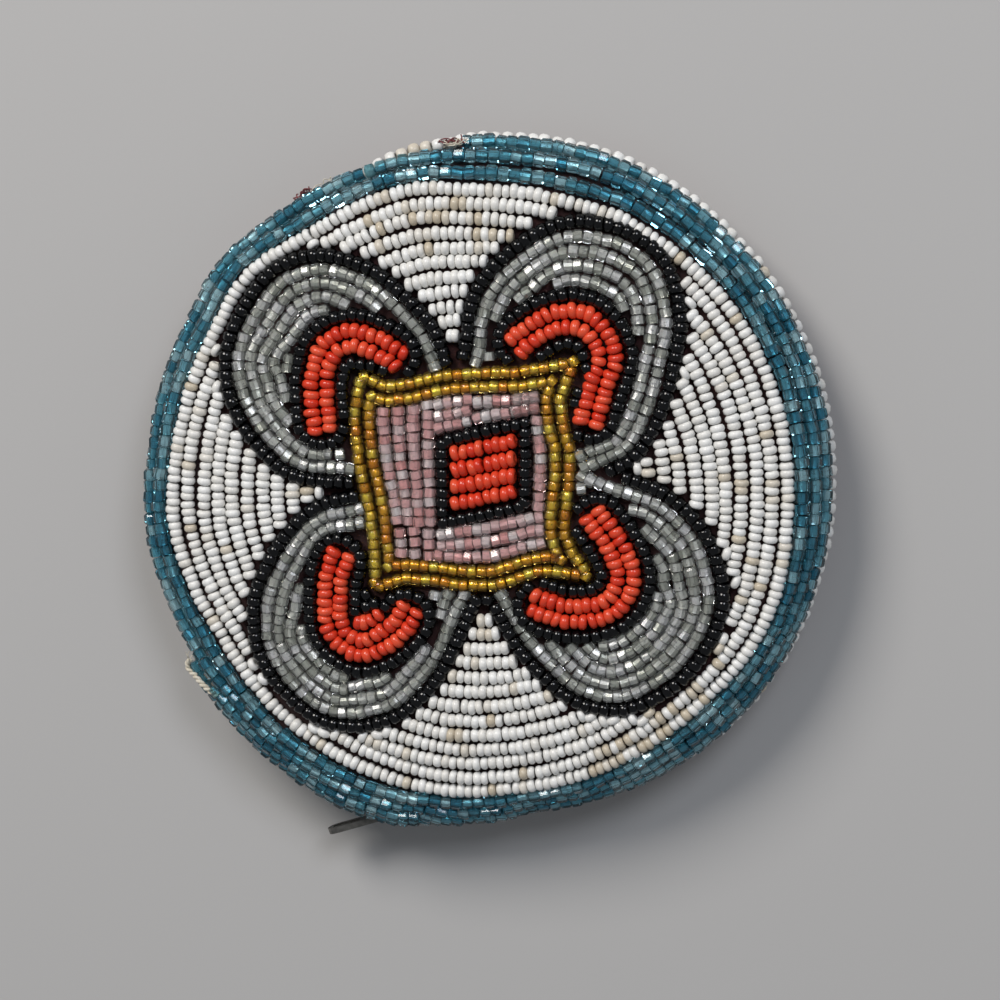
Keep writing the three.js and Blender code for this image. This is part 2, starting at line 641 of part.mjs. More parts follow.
// The staple on the slider's outer plate that the pull hangs on.
function bridge() {
  const outer = BRIDGE_HOLE + BRIDGE_RING;
  const foot = PLATE_TO - SLIDER_PLATE / 2;
  const staple = new THREE.Shape()
    .moveTo(-outer, foot)
    .lineTo(-BRIDGE_HOLE, foot)
    .lineTo(-BRIDGE_HOLE, PIVOT)
    .absarc(0, PIVOT, BRIDGE_HOLE, PI, 0, true)
    .lineTo(BRIDGE_HOLE, foot)
    .lineTo(outer, foot)
    .lineTo(outer, PIVOT)
    .absarc(0, PIVOT, outer, 0, PI, false)
    .lineTo(-outer, foot);
  return extruded(staple, -BRIDGE_WIDTH / 2, BRIDGE_WIDTH / 2).rotate([90, 0, 0]);
}

// Pull, drawn with X along it from its axis, Y across it and Z through it.
function pull() {
  const side = PULL_WIDTH / 2;
  const bar = PULL_THICKNESS / 2;
  const eye = BRIDGE_WIDTH / 2 + CLEARANCE;
  const eyeFrom = BRIDGE_HOLE - CLEARANCE;
  const eyeTo = BRIDGE_HOLE + BRIDGE_RING + CLEARANCE;
  const outline = new THREE.Shape()
    .moveTo(-bar, -side)
    .lineTo(PULL_LENGTH - side, -side)
    .absarc(PULL_LENGTH - side, 0, side, -PI / 2, PI / 2, false)
    .lineTo(-bar, side)
    .lineTo(-bar, -side);
  const hole = [point(eyeFrom, -eye), point(eyeFrom, eye), point(eyeTo, eye), point(eyeTo, -eye)];
  const tip = PULL_LENGTH - side;
  const root = tip - WINDOW_LENGTH + WINDOW_WIDTH;
  const slot = new THREE.Path()
    .absarc(tip, 0, WINDOW_WIDTH / 2, PI / 2, -PI / 2, true)
    .absarc(root, 0, WINDOW_WIDTH / 2, -PI / 2, PI / 2, true);
  outline.holes.push(new THREE.Path(hole), slot);
  return geometryOf(extruded(outline, -PULL_THICKNESS / 2, PULL_THICKNESS / 2));
}

const sliderAngle = degToRad(SLIDER_AT);
const outward = new THREE.Vector3(Math.cos(sliderAngle), Math.sin(sliderAngle), 0);
const forward = new THREE.Vector3(-outward.y, outward.x, 0);
const upward = new THREE.Vector3(0, 0, 1);
const chainPoint = outward.clone().multiplyScalar(CHAIN_RADIUS).setZ(SEAM_HEIGHT);
const sliderFrame = new THREE.Matrix4().makeBasis(forward, upward, outward).setPosition(chainPoint);
const lift = degToRad(PULL_LIFT);
const pullAlong = forward.clone().multiplyScalar(-Math.cos(lift)).addScaledVector(outward, Math.sin(lift));
const pullFrame = new THREE.Matrix4()
  .makeBasis(pullAlong, upward, pullAlong.clone().cross(upward))
  .setPosition(chainPoint.clone().addScaledVector(outward, PIVOT));

const stopDepth = CORD_OFFSET + CORD_WIDTH;
const stopGap = degreesOf(CLEARANCE);
const bottomStop = block(1, STOP_FROM, CHAIN_FROM - stopGap, -stopDepth, stopDepth, STOP_THICKNESS, 1);
const topStop = (side) =>
  block(side, CORD_TO + stopGap, STOP_TO, CLEARANCE, stopDepth, STOP_THICKNESS, 1);

purse.add(
  mesh("front_panel", shaped(panel(1)), RED_FELT),
  mesh("back_panel", shaped(panel(-1)), RED_FELT),
  mesh("rim_edging", shaped(edging()), WHITE_GLASS),
  mesh("zip_tape_front", tape(1), TAPE_CLOTH),
  mesh("zip_tape_back", tape(-1), TAPE_CLOTH),
  mesh("zip_chain_front", chainHalf(1), NICKEL),
  mesh("zip_chain_back", chainHalf(-1), NICKEL),
  mesh("zip_bottom_stop", bottomStop, NICKEL),
  mesh("zip_top_stop_front", topStop(1), NICKEL),
  mesh("zip_top_stop_back", topStop(-1), NICKEL),
  mesh("zip_slider", sliderBody().applyMatrix4(sliderFrame), NICKEL),
  mesh("zip_pull", pull().applyMatrix4(pullFrame), NICKEL),
);

export default purse;
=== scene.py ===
"""Looks of a round beaded coin purse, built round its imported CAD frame."""

import json
import logging
import math
from dataclasses import dataclass
from enum import Enum, IntEnum
from typing import Callable, Iterable, Protocol, Sequence

import bpy
import numpy as np
from mathutils import Matrix, Vector
from mathutils.kdtree import KDTree

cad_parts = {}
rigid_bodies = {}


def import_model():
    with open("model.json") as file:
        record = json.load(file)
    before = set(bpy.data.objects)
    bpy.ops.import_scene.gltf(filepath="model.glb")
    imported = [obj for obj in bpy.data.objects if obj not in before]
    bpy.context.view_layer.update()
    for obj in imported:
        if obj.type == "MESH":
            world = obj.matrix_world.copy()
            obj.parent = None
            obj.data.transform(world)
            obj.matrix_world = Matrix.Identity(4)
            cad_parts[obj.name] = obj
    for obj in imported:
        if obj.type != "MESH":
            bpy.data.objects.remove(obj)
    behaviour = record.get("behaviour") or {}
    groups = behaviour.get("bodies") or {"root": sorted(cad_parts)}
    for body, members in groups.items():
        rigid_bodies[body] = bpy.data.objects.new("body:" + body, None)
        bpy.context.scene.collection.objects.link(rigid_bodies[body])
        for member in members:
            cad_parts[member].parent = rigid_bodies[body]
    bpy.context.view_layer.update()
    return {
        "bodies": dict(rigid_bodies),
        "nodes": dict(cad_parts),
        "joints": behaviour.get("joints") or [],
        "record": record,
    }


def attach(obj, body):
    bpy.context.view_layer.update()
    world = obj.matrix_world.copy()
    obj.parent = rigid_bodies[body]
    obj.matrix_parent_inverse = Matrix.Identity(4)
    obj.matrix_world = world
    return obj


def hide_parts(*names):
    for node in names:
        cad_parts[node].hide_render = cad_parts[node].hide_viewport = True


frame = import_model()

LOG = logging.getLogger("coin_purse")
MM = 0.001
PURSE = "purse"
Points = np.ndarray
Keep = Callable[[Points], np.ndarray]
Table = tuple[tuple[float, float], ...]
Place = tuple[float, float, float]
# Stands in for 0 where a number divides another.
TINY = 1e-9
# Samples of a smooth curve between two of its points, and of the round end of a loop.
CURVE_STEPS, END_STEPS = 24, 12
# Share of its distance that a moved line has to keep, so that folds drop out.
FOLD_SHARE = 0.96
# Values between which most of a noise texture lies.
NOISE_SPAN = (0.3, 0.7)
# Ribs of a wave texture of scale 1 in one unit, about.
RIBS_PER_UNIT = 6.28
# A direction that no thread runs along.
ASIDE = (0.31, 0.23, 0.92)


def linear(code: str) -> tuple[float, float, float, float]:
    """Turns an sRGB hex colour to linear RGBA.

    Args:
        code: Colour such as "#e8e5dc".

    Returns:
        Linear red, green and blue, with an alpha of 1.
    """
    shares = [int(code[i : i + 2], 16) / 255 for i in (1, 3, 5)]
    red, green, blue = (s / 12.92 if s <= 0.04045 else ((s + 0.055) / 1.055) ** 2.4 for s in shares)
    return red, green, blue, 1.0


def feed(tree: bpy.types.NodeTree, node: bpy.types.Node, inputs: dict) -> None:
    """Sets and links the sockets of a node.

    Args:
        tree: Node tree that holds the node.
        node: Node that gets the values and links.
        inputs: Socket name or number to a value, or to the output socket that feeds it.
    """
    for key, value in inputs.items():
        if isinstance(value, bpy.types.NodeSocket):
            tree.links.new(value, node.inputs[key])
        else:
            node.inputs[key].default_value = value


def add_node(
    tree: bpy.types.NodeTree, kind: str, inputs: dict | None = None, **settings
) -> bpy.types.Node:
    """Adds a node with its settings, values and links.

    Args:
        tree: Node tree that gets the node.
        kind: Blender's name of the node type.
        inputs: Socket name or number to a value, or to the output socket that feeds it.
        **settings: Properties of the node itself.

    Returns:
        The new node.
    """
    node = tree.nodes.new(kind)
    for name, value in settings.items():
        setattr(node, name, value)
    feed(tree, node, inputs or {})
    return node


def blank_material(name: str) -> tuple[bpy.types.Material, bpy.types.NodeTree, bpy.types.Node]:
    """Starts a material.

    Args:
        name: Name of the material.

    Returns:
        The material, its node tree and the shader in it.
    """
    made = bpy.data.materials.new(name)
    made.use_nodes = True
    return made, made.node_tree, made.node_tree.nodes["Principled BSDF"]


def set_ramp(node: bpy.types.Node, places: Sequence[float], codes: Sequence[str]) -> None:
    """Gives a colour ramp its stops.

    Args:
        node: Colour ramp node.
        places: Place of each stop, from 0 to 1.
        codes: Its sRGB hex colour.
    """
    stops = node.color_ramp.elements
    while len(stops) > 1:
        stops.remove(stops[-1])
    stops[0].position, stops[0].color = places[0], linear(codes[0])
    for place, code in zip(places[1:], codes[1:]):
        stops.new(place).color = linear(code)


def mesh_object(
    name: str, vertices: Points, faces: Sequence, edges: Sequence = ()
) -> bpy.types.Object:
    """Makes a linked mesh object from points in millimetres.

    Args:
        name: Name of the object and its mesh.
        vertices: Points, one row each, in millimetres.
        faces: Vertex numbers of each face.
        edges: Vertex numbers of each loose edge.

    Returns:
        The new object, at the origin.
    """
    mesh = bpy.data.meshes.new(name)
    mesh.from_pydata((np.asarray(vertices) * MM).tolist(), edges, faces)
    mesh.validate()
    made = bpy.data.objects.new(name, mesh)
    bpy.context.scene.collection.objects.link(made)
    return made


def finish_piece(piece: bpy.types.Object, nodes: Iterable[str] = ()) -> None:
    """Ties a finished piece to the purse's body and reports it.

    Args:
        piece: Mesh object at the origin.
        nodes: CAD nodes that the piece stands for.
    """
    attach(piece, PURSE)
    if nodes:
        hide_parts(*nodes)
    LOG.info("%s: %d faces on %s", piece.name, len(piece.data.polygons), PURSE)


def grid_faces(rings: int, size: int) -> list[tuple[int, ...]]:
    """Joins rings of points with four-sided faces.

    Args:
        rings: Number of rings.
        size: Number of points in each ring.

    Returns:
        Vertex numbers of each face, ring by ring.
    """
    faces = []
    for first in range(0, (rings - 1) * size, size):
        for j in range(size):
            k = (j + 1) % size
            faces.append((first + j, first + size + j, first + size + k, first + k))
    return faces


def unit(vectors: Points) -> Points:
    """Scales vectors to a length of 1."""
    return vectors / np.maximum(np.linalg.norm(vectors, axis=-1, keepdims=True), TINY)


def left_of(vectors: Points) -> Points:
    """Turns vectors of the plane a quarter to the left."""
    return np.stack([-vectors[:, 1], vectors[:, 0]], axis=1)


def on_circle(turns: np.ndarray) -> Points:
    """Gives points of a circle of radius 1, at angles in radians."""
    return np.stack([np.cos(turns), np.sin(turns)], axis=1)


def from_middle(points: Points) -> np.ndarray:
    """Measures how far points lie from the purse's axis."""
    return np.hypot(points[:, 0], points[:, 1])


def bearing(points: Points) -> np.ndarray:
    """Measures the angle of points round the purse's axis, in degrees."""
    return np.degrees(np.arctan2(points[:, 1], points[:, 0]))


def ease(share: np.ndarray) -> np.ndarray:
    """Bends shares from 0 to 1 to a smooth step."""
    return share**2 * (3 - 2 * share)


def inside(points: Points, outline: Points) -> np.ndarray:
    """Tells which points lie inside a closed outline.

    Args:
        points: Points in the plane.
        outline: Corners of the outline in order.

    Returns:
        One truth value for each point.
    """
    x, y = points[:, 0, None], points[:, 1, None]
    x1, y1 = outline[:, 0], outline[:, 1]
    x2, y2 = np.roll(x1, -1), np.roll(y1, -1)
    rise = np.where(y2 == y1, TINY, y2 - y1)
    crosses = ((y1 > y) != (y2 > y)) & (x < (x2 - x1) * (y - y1) / rise + x1)
    return crosses.sum(axis=1) % 2 == 1


def distance_to(points: Points, line: Points, closed: bool = False) -> np.ndarray:
    """Measures how far points lie from a line of straight stretches.

    Args:
        points: Points in the plane.
        line: Points of the line in order.
        closed: Whether the last point joins the first.

    Returns:
        One distance for each point.
    """
    start = line if closed else line[:-1]
    end = np.roll(line, -1, axis=0) if closed else line[1:]
    along = end - start
    length = np.maximum((along**2).sum(axis=1), TINY)
    share = np.clip(((points[:, None] - start) * along).sum(axis=2) / length, 0, 1)
    foot = start + share[..., None] * along
    return np.sqrt(((points[:, None] - foot) ** 2).sum(axis=2)).min(axis=1)


def spaced(line: Points, step: float, closed: bool = False) -> Points:
    """Puts points along a line at an even spacing.

    Args:
        line: Points of the line in order.
        step: Wanted spacing.
        closed: Whether the last point joins the first.

    Returns:
        The new points, without a repeated end on a closed line.
    """
    if len(line) < 2:
        return line
    whole = np.vstack([line, line[:1]]) if closed else line
    arcs = np.concatenate([[0], np.cumsum(np.linalg.norm(np.diff(whole, axis=0), axis=1))])
    count = max(2, int(round(arcs[-1] / step)))
    places = np.linspace(0, arcs[-1], count + 1)[: count if closed else None]
    return np.stack([np.interp(places, arcs, whole[:, i]) for i in range(whole.shape[1])], axis=1)


def smooth(points: Points, step: float) -> Points:
    """Draws a smooth curve through points, at an even spacing.

    Args:
        points: Points that the curve passes.
        step: Spacing of the result.

    Returns:
        Points of the curve.
    """
    padded = np.vstack([2 * points[0] - points[1], points, 2 * points[-1] - points[-2]])
    share = np.linspace(0, 1, CURVE_STEPS, endpoint=False)[:, None]
    runs = []
    for a, b, c, d in zip(padded, padded[1:], padded[2:], padded[3:]):
        cubic = 3 * b - a - 3 * c + d
        runs.append(b + 0.5 * share * (c - a + share * (2 * a - 5 * b + 4 * c - d + share * cubic)))
    return spaced(np.vstack([*runs, points[-1:]]), step)


def offset(line: Points, distance: float, closed: bool = False) -> Points:
    """Moves a line sideways, to its left, and drops what folds over.

    Args:
        line: Points of the line in order.
        distance: How far, in the line's own units.
        closed: Whether the last point joins the first.

    Returns:
        Points of the moved line.
    """
    if closed:
        along = np.roll(line, -1, axis=0) - np.roll(line, 1, axis=0)
    else:
        along = np.gradient(line, axis=0)
    moved = line + distance * left_of(unit(along))
    return moved[distance_to(moved, line, closed) > FOLD_SHARE * abs(distance)]


def stretches(line: Points, good: np.ndarray, closed: bool = False) -> list[Points]:
    """Cuts a line to the stretches whose points are good.

    Args:
        line: Points of the line in order.
        good: One truth value for each point.
        closed: Whether the last point joins the first.

    Returns:
        The stretches of two points or more.
    """
    if closed and not good.all():
        first = int(np.argmin(good))
        line, good = np.roll(line, -first, axis=0), np.roll(good, -first)
    cuts = np.flatnonzero(np.diff(good.astype(int))) + 1
    parts = zip(np.split(line, cuts), np.split(good, cuts))
    return [part for part, fine in parts if fine[0] and len(part) > 1]


def loop_around(line: Points, distance: float) -> Points:
    """Draws a closed line round an open one, with round ends.

    Args:
        line: Points of the open line.
        distance: How far off the line the loop runs.

    Returns:
        Points of the loop, anticlockwise.
    """
    ends = []
    for tip, before in ((line[-1], line[-2]), (line[0], line[1])):
        heading = math.atan2(*(tip - before)[::-1])
        turns = heading + np.linspace(-np.pi / 2, np.pi / 2, END_STEPS)[1:-1]
        ends.append(tip + distance * on_circle(turns))
    return np.vstack([offset(line, -distance), ends[0], offset(line, distance)[::-1], ends[1]])


def eased(table: Sequence[tuple[float, float]], angle: np.ndarray) -> np.ndarray:
    """Reads a table of angles and values, with a smooth step from each entry to the next.

    Args:
        table: Angles in rising order from 0 to 360 degrees, and the value at each.
        angle: Angles to read at.

    Returns:
        The value at each angle.
    """
    at, value = np.array(table).T
    span = np.clip(np.searchsorted(at, angle % 360, side="right") - 1, 0, len(at) - 2)
    share = (angle % 360 - at[span]) / (at[span + 1] - at[span])
    return value[span] + (value[span + 1] - value[span]) * ease(share)


@dataclass(frozen=True)
class Dome:
    """The front panel's outer face, as in the CAD model, in millimetres.

    The two shapes give an angle in degrees and how far the edge stands out there past a circle.
    """

    radius: float = 49.5
    seam: float = 7.5
    rise: float = 9.0
    fullness: float = 3.0
    beads_in_radius: float = 23.6
    border_start: float = 1.8
    border_rows: int = 3
    border_beads: float = 0.98
    rim_depth: float = 5.5
    rim_stop: float = 0.9999
    section_steps: int = 600
    rim_shape: Table = (
        (0, -0.7), (20, -0.2), (40, 0.2), (64, 0.5), (90, -0.2), (125, 0.2), (140, 0.9), (153, 0.3),
        (170, 0.5), (190, 1.4), (205, 1.4), (218, 2.2), (232, 2.5), (245, 2.8), (254, 2.4),
        (262, 0.6), (270, -0.6), (280, -1.9), (292, -1.7), (303, -1.4), (316, -1.0), (340, -0.9),
        (360, -0.7),
    )
    disc_shape: Table = (
        (0, 0), (33, 0.3), (60, 0), (75, -0.8), (90, -1.0), (105, 0.1), (122, -0.1), (139, 1.3),
        (151, 0.7), (165, 0.8), (189, 1.6), (200, 1.1), (211, 0.5), (230, 0.9), (260, 0.8),
        (282, -0.1), (312, -0.3), (337, 0.7), (360, 0),
    )

    @property
    def bead(self) -> float:
        """Diameter of a white bead."""
        return self.radius / self.beads_in_radius

    @property
    def border_pitch(self) -> float:
        """Distance between the rows of the border."""
        return self.border_beads * self.radius / self.beads_in_radius

    def meridian(self) -> tuple[np.ndarray, np.ndarray, np.ndarray]:
        """Draws the dome's section.

        Returns:
            Radius, height over the seam and length along the section, from the middle to the rim.
        """
        turn = np.linspace(np.pi / 2, 0, self.section_steps)
        across = self.radius * np.clip(np.cos(turn), 0, 1) ** (2 / self.fullness)
        across[0] = 0
        up = self.rise * np.clip(np.sin(turn), 0, 1) ** (2 / self.fullness)
        arcs = np.concatenate([[0], np.cumsum(np.hypot(np.diff(across), np.diff(up)))])
        return across, up, arcs

    def ground_arc(self) -> float:
        """Gives the length along the section at which the white ground ends."""
        border = self.border_rows * self.border_pitch
        return float(self.meridian()[2][-1]) - self.border_start - border

    def outer_arc(self) -> float:
        """Gives the length along the section at the middle of the border's outer row."""
        return self.ground_arc() + (self.border_rows - 0.5) * self.border_pitch

    def radius_at(self, arc: float) -> float:
        """Gives the radius at a length along the section."""
        across, _, arcs = self.meridian()
        return float(np.interp(arc, arcs, across))

    def swell(self, flat: Points) -> np.ndarray:
        """Tells how far the white ground reaches past a true circle, in each point's direction."""
        return eased(self.disc_shape, bearing(flat))

    def shaped(self, points: Points) -> Points:
        """Pushes the rim to the purse's own outline, which isn't quite round.

        Args:
            points: Points in space.

        Returns:
            The moved points.
        """
        radius = np.maximum(from_middle(points), TINY)
        rim = np.clip((radius - self.radius + self.rim_depth) / self.rim_depth, 0, 1)
        grow = 1 + eased(self.rim_shape, bearing(points)) * ease(rim) / radius
        return points * np.stack([grow, grow, np.ones_like(grow)], axis=1)

    def lay(self, flat: Points, lift: float) -> tuple[Points, Points]:
        """Lays points of the plane on the panel.

        Args:
            flat: Points in the plane, seen from above.
            lift: Distance off the cloth.

        Returns:
            The points in space, and the cloth's normal at each.
        """
        radius = np.minimum(from_middle(flat), self.radius * self.rim_stop)
        share = radius / self.radius
        height = (1 - share**self.fullness) ** (1 / self.fullness)
        power = self.fullness - 1
        out, up = share**power / self.radius, height**power / self.rise
        length = np.hypot(out, up)
        around = flat / np.maximum(radius, TINY)[:, None]
        normal = np.column_stack([around * (out / length)[:, None], up / length])
        at = np.column_stack([around * radius[:, None], self.seam + self.rise * height])
        return self.shaped(at + lift * normal), normal


class Side(Enum):
    """The two cloth panels of the purse."""

    FRONT = 1
    BACK = -1


class Cut(Enum):
    """How the glass of a bead was worked."""

    ROUND = "round"
    FACETED = "faceted"


class Ground(IntEnum):
    """What a spot of the beadwork is covered with; the numbers order the beads that fill gaps."""

    GOLD = -1
    WHITE = 0
    PINK = 1
    SILVER = 2
    BLACK = 3


class Lay(Enum):
    """How a row is laid.

    Each has the share of the room between rows that its beads insist on, and the shortest stretch
    that is strung, in beads.
    """

    FREE = (0.0, 1.0)
    OUTLINE = (0.8, 1.0)
    GROUND_EDGE = (0.0, 0.6)
    GROUND = (0.8, 0.6)
    HOLLOW = (0.66, 0.4)
    FILL_EDGE = (0.5, 1.0)
    FILL = (0.72, 1.0)
    HUG = (0.76, 0.4)
    THIRD = (0.7, 1.0)
    FIELD = (0.74, 0.3)


class Finish(Protocol):
    """Anything that can make a material."""

    name: str

    def material(self) -> bpy.types.Material:
        """Builds the material."""


# Roughness of tube-cut glass, and of the thin film that lines its bore.
POLISH, FILM = 0.05, 0.32


@dataclass(frozen=True)
class GlassFinish:
    """Glass of a kind of bead, or the film in its bore, each bead with its own shade.

    The colours run from the commonest bead to the oddest one, and places says how common they are.
    Wear is how far the roughness strays, as shares of it.
    """

    name: str
    colours: tuple[str, ...]
    roughness: float = POLISH
    places: tuple[float, ...] = (0.0, 0.5, 1.0)
    transmission: float = 0.0
    metallic: float = 0.0
    cream_and_shade_weight: float = 0.0
    ior: float = 1.52
    grain_mm: float = 0.5
    grain: float = 0.06
    wear: tuple[float, float] = (0.75, 1.3)

    def material(self) -> bpy.types.Material:
        """Builds the material.

        Returns:
            Procedural glass reading each bead's random shade and cream tint, partly painted shade.
        """
        made, tree, shader = blank_material(self.name)
        shade, age = (
            add_node(tree, "ShaderNodeAttribute", attribute_name=name).outputs["Fac"]
            for name in ("shade", "age")
        )
        mixed = add_node(
            tree, "ShaderNodeMath", {0: age, 1: self.cream_and_shade_weight, 2: shade}, operation="MULTIPLY_ADD"
        )
        ramp = add_node(tree, "ShaderNodeValToRGB", {"Fac": mixed.outputs[0]})
        set_ramp(ramp, self.places, self.colours)
        place = add_node(tree, "ShaderNodeTexCoord").outputs["Object"]
        grit = {"Vector": place, "Scale": 1 / (self.grain_mm * MM), "Detail": 2.0}
        speck = add_node(tree, "ShaderNodeTexNoise", grit).outputs["Fac"]
        spans = ((1 - self.grain, 1 + self.grain), [self.roughness * share for share in self.wear])
        dirt, rough = (
            add_node(tree, "ShaderNodeMapRange", dict(enumerate((speck, *NOISE_SPAN, *span))))
            for span in spans
        )
        shown = {"Value": dirt.outputs[0], "Color": ramp.outputs["Color"]}
        surface = {
            "Base Color": add_node(tree, "ShaderNodeHueSaturation", shown).outputs["Color"],
            "Roughness": rough.outputs[0],
            "IOR": self.ior,
            "Transmission Weight": self.transmission,
            "Metallic": self.metallic,
        }
        feed(tree, shader, surface)
        return made


@dataclass(frozen=True)
class FeltFinish:
    """Wool felt: matted fibres, so a dull face with soft lumps and a little sheen."""

    name: str
    dark: str
    light: str
    fibre_mm: float = 0.35
    lump_mm: float = 2.2
    tones: tuple[float, float] = (0.12, 0.42)
    relief: float = 0.7
    relief_mm: float = 0.3
    roughness: float = 0.95
    sheen: float = 0.35
    sheen_roughness: float = 0.5

    def material(self) -> bpy.types.Material:
        """Builds the material.

        Returns:
            Felt with fibres drawn coarser than real wool, so that they show.
        """
        made, tree, shader = blank_material(self.name)
        place = add_node(tree, "ShaderNodeTexCoord").outputs["Object"]
        lumps = {"Vector": place, "Scale": 1 / (self.lump_mm * MM), "Detail": 3.0}
        fibres = {"Vector": place, "Scale": 1 / (self.fibre_mm * MM), "Detail": 6.0}
        fibres["Distortion"] = 1.4
        noises = (add_node(tree, "ShaderNodeTexNoise", kind) for kind in (fibres, lumps))
        factors = {i: noise.outputs["Fac"] for i, noise in enumerate(noises)}
        both = add_node(tree, "ShaderNodeMath", factors, operation="MULTIPLY").outputs[0]
        ramp = add_node(tree, "ShaderNodeValToRGB", {"Fac": both})
        set_ramp(ramp, self.tones, (self.dark, self.light))
        raised = {"Strength": self.relief, "Distance": self.relief_mm * MM, "Height": both}
        surface = {
            "Base Color": ramp.outputs["Color"],
            "Normal": add_node(tree, "ShaderNodeBump", raised).outputs["Normal"],
            "Roughness": self.roughness,
            "Sheen Weight": self.sheen,
            "Sheen Roughness": self.sheen_roughness,
        }
        feed(tree, shader, surface)
        return made


@dataclass(frozen=True)
class TapeFinish:
    """Woven polyester tape: a fine rib along it, drawn as coarse as it needs to show."""

    name: str
    dark: str
    light: str
    rib_mm: float = 0.7
    tones: tuple[float, float] = (0.2, 0.8)
    relief: float = 0.5
    relief_mm: float = 0.15
    roughness: float = 0.8

    def material(self) -> bpy.types.Material:
        """Builds the material.

        Returns:
            Ribbed weave on object coordinates.
        """
        made, tree, shader = blank_material(self.name)
        place = add_node(tree, "ShaderNodeTexCoord").outputs["Object"]
        scale = 1 / (RIBS_PER_UNIT * self.rib_mm * MM)
        weave = {"Vector": place, "Scale": scale, "Distortion": 0.6}
        rib = add_node(tree, "ShaderNodeTexWave", weave, bands_direction="Z").outputs["Fac"]
        ramp = add_node(tree, "ShaderNodeValToRGB", {"Fac": rib})
        set_ramp(ramp, self.tones, (self.dark, self.light))
        raised = {"Strength": self.relief, "Distance": self.relief_mm * MM, "Height": rib}
        surface = {
            "Base Color": ramp.outputs["Color"],
            "Normal": add_node(tree, "ShaderNodeBump", raised).outputs["Normal"],
            "Roughness": self.roughness,
        }
        feed(tree, shader, surface)
        return made


@dataclass(frozen=True)
class MetalFinish:
    """Die-cast zinc with a dull nickel plate, rubbed and a little tarnished."""

    name: str
    dark: str
    light: str
    roughness: tuple[float, float] = (0.28, 0.52)
    tones: tuple[float, float] = (0.35, 0.65)
    blotch_mm: float = 3.0
    scratch_mm: float = 0.25

    def material(self) -> bpy.types.Material:
        """Builds the material.

        Returns:
            Metal with blotches of tarnish and fine scratches.
        """
        made, tree, shader = blank_material(self.name)
        place = add_node(tree, "ShaderNodeTexCoord").outputs["Object"]
        blotches = {"Vector": place, "Scale": 1 / (self.blotch_mm * MM), "Detail": 5.0}
        scratches = {"Vector": place, "Scale": 1 / (self.scratch_mm * MM), "Detail": 3.0}
        tarnish, wear = (
            add_node(tree, "ShaderNodeTexNoise", kind).outputs["Fac"]
            for kind in (blotches, scratches)
        )
        ramp = add_node(tree, "ShaderNodeValToRGB", {"Fac": tarnish})
        set_ramp(ramp, self.tones, (self.dark, self.light))
        span = dict(enumerate((wear, *NOISE_SPAN, *self.roughness)))
        surface = {
            "Base Color": ramp.outputs["Color"],
            "Roughness": add_node(tree, "ShaderNodeMapRange", span).outputs[0],
            "Metallic": 1.0,
        }
        feed(tree, shader, surface)
        return made


# Opaque chalk-white glass: soft gloss, and now and then a cream or tan bead from an older batch.
# The same cream tint, strewn along the lower right rim, is painted shade.
WHITE_GLASS = GlassFinish(
    "chalk_white_glass",
    ("#f0f0ee", "#e6e4df", "#dad3c6", "#c9bda8"),
    roughness=0.26,
    places=(0.0, 0.88, 0.95, 1.0),
    cream_and_shade_weight=0.4,
)
# Teal glass cut from tube, clear round a paler bore.
BLUE_GLASS = GlassFinish("teal_cut_glass", ("#6db8cc", "#95cfdd", "#c4e8f0"), transmission=0.96)
BLUE_LINING = GlassFinish("teal_bore", ("#6aafc4", "#9ed2df", "#f4fcfe"), FILM, metallic=0.55)
# Opaque black glass with rounded facets, which glint one by one.
BLACK_GLASS = GlassFinish(
    "black_cut_glass", ("#020203", "#070709"), roughness=0.035, places=(0.0, 1.0), ior=1.48
)
# Clear glass with a dulled silver lining: grey, with pale glints.
SILVER_GLASS = GlassFinish(
    "silver_lined_glass",
    ("#e4e6df", "#f3f4f0", "#ffffff"),
    places=(0.0, 0.6, 1.0),
    transmission=0.95,
)
SILVER_LINING = GlassFinish(
    "silver_bore", ("#d2d4ce", "#f2f3ef", "#ffffff"), FILM, (0.0, 0.6, 1.0), metallic=0.45
)
# Opaque coral red glass: strong colour under a soft gloss.
CORAL_GLASS = GlassFinish("coral_red_glass", ("#d4341d", "#e04428", "#ea5737"), roughness=0.24)
# Amber glass with a bright lining: brown walls, yellow glints.
GOLD_GLASS = GlassFinish("amber_lined_glass", ("#f2c056", "#f8d36a", "#fde688"), transmission=0.96)
GOLD_LINING = GlassFinish(
    "amber_bore", ("#f4bc4a", "#ffe668", "#fffa90"), FILM, (0.0, 0.4, 1.0), metallic=0.5
)
# Translucent dusky pink glass with a pale bore.
PINK_GLASS = GlassFinish(
    "dusky_pink_glass",
    ("#fbdcd7", "#fde8e5", "#fff7f6"),
    places=(0.0, 0.6, 1.0),
    transmission=0.9,
)
PINK_LINING = GlassFinish("pink_bore", ("#f8c2c4", "#ffdde0", "#ffffff"), FILM, metallic=0.1)
# Dark red wool felt: on the back, and under the beads darker, as painted shade in the gaps between
# them.
RED_FELT = FeltFinish("red_wool_felt", "#3c1213", "#74282a")
SHADED_FELT = FeltFinish("stiffened_felt", "#1c0a0a", "#3f1717")
# Dark red woven zip tape.
RED_TAPE = TapeFinish("woven_zip_tape", "#3a1214", "#5d2124")
# Nickel-plated zip, tarnished to a dark grey.
ZIP_METAL = MetalFinish("tarnished_nickel", "#4c4a47", "#8b8984")
# Cotton thread, two plies, undyed, and dyed red for the seams.
PALE_THREAD = FeltFinish("pale_cotton_thread", "#cfc5ae", "#f5efe0", fibre_mm=0.12, lump_mm=0.8)
RED_THREAD = FeltFinish("red_cotton_thread", "#4a1618", "#93383a", fibre_mm=0.12, lump_mm=0.8)


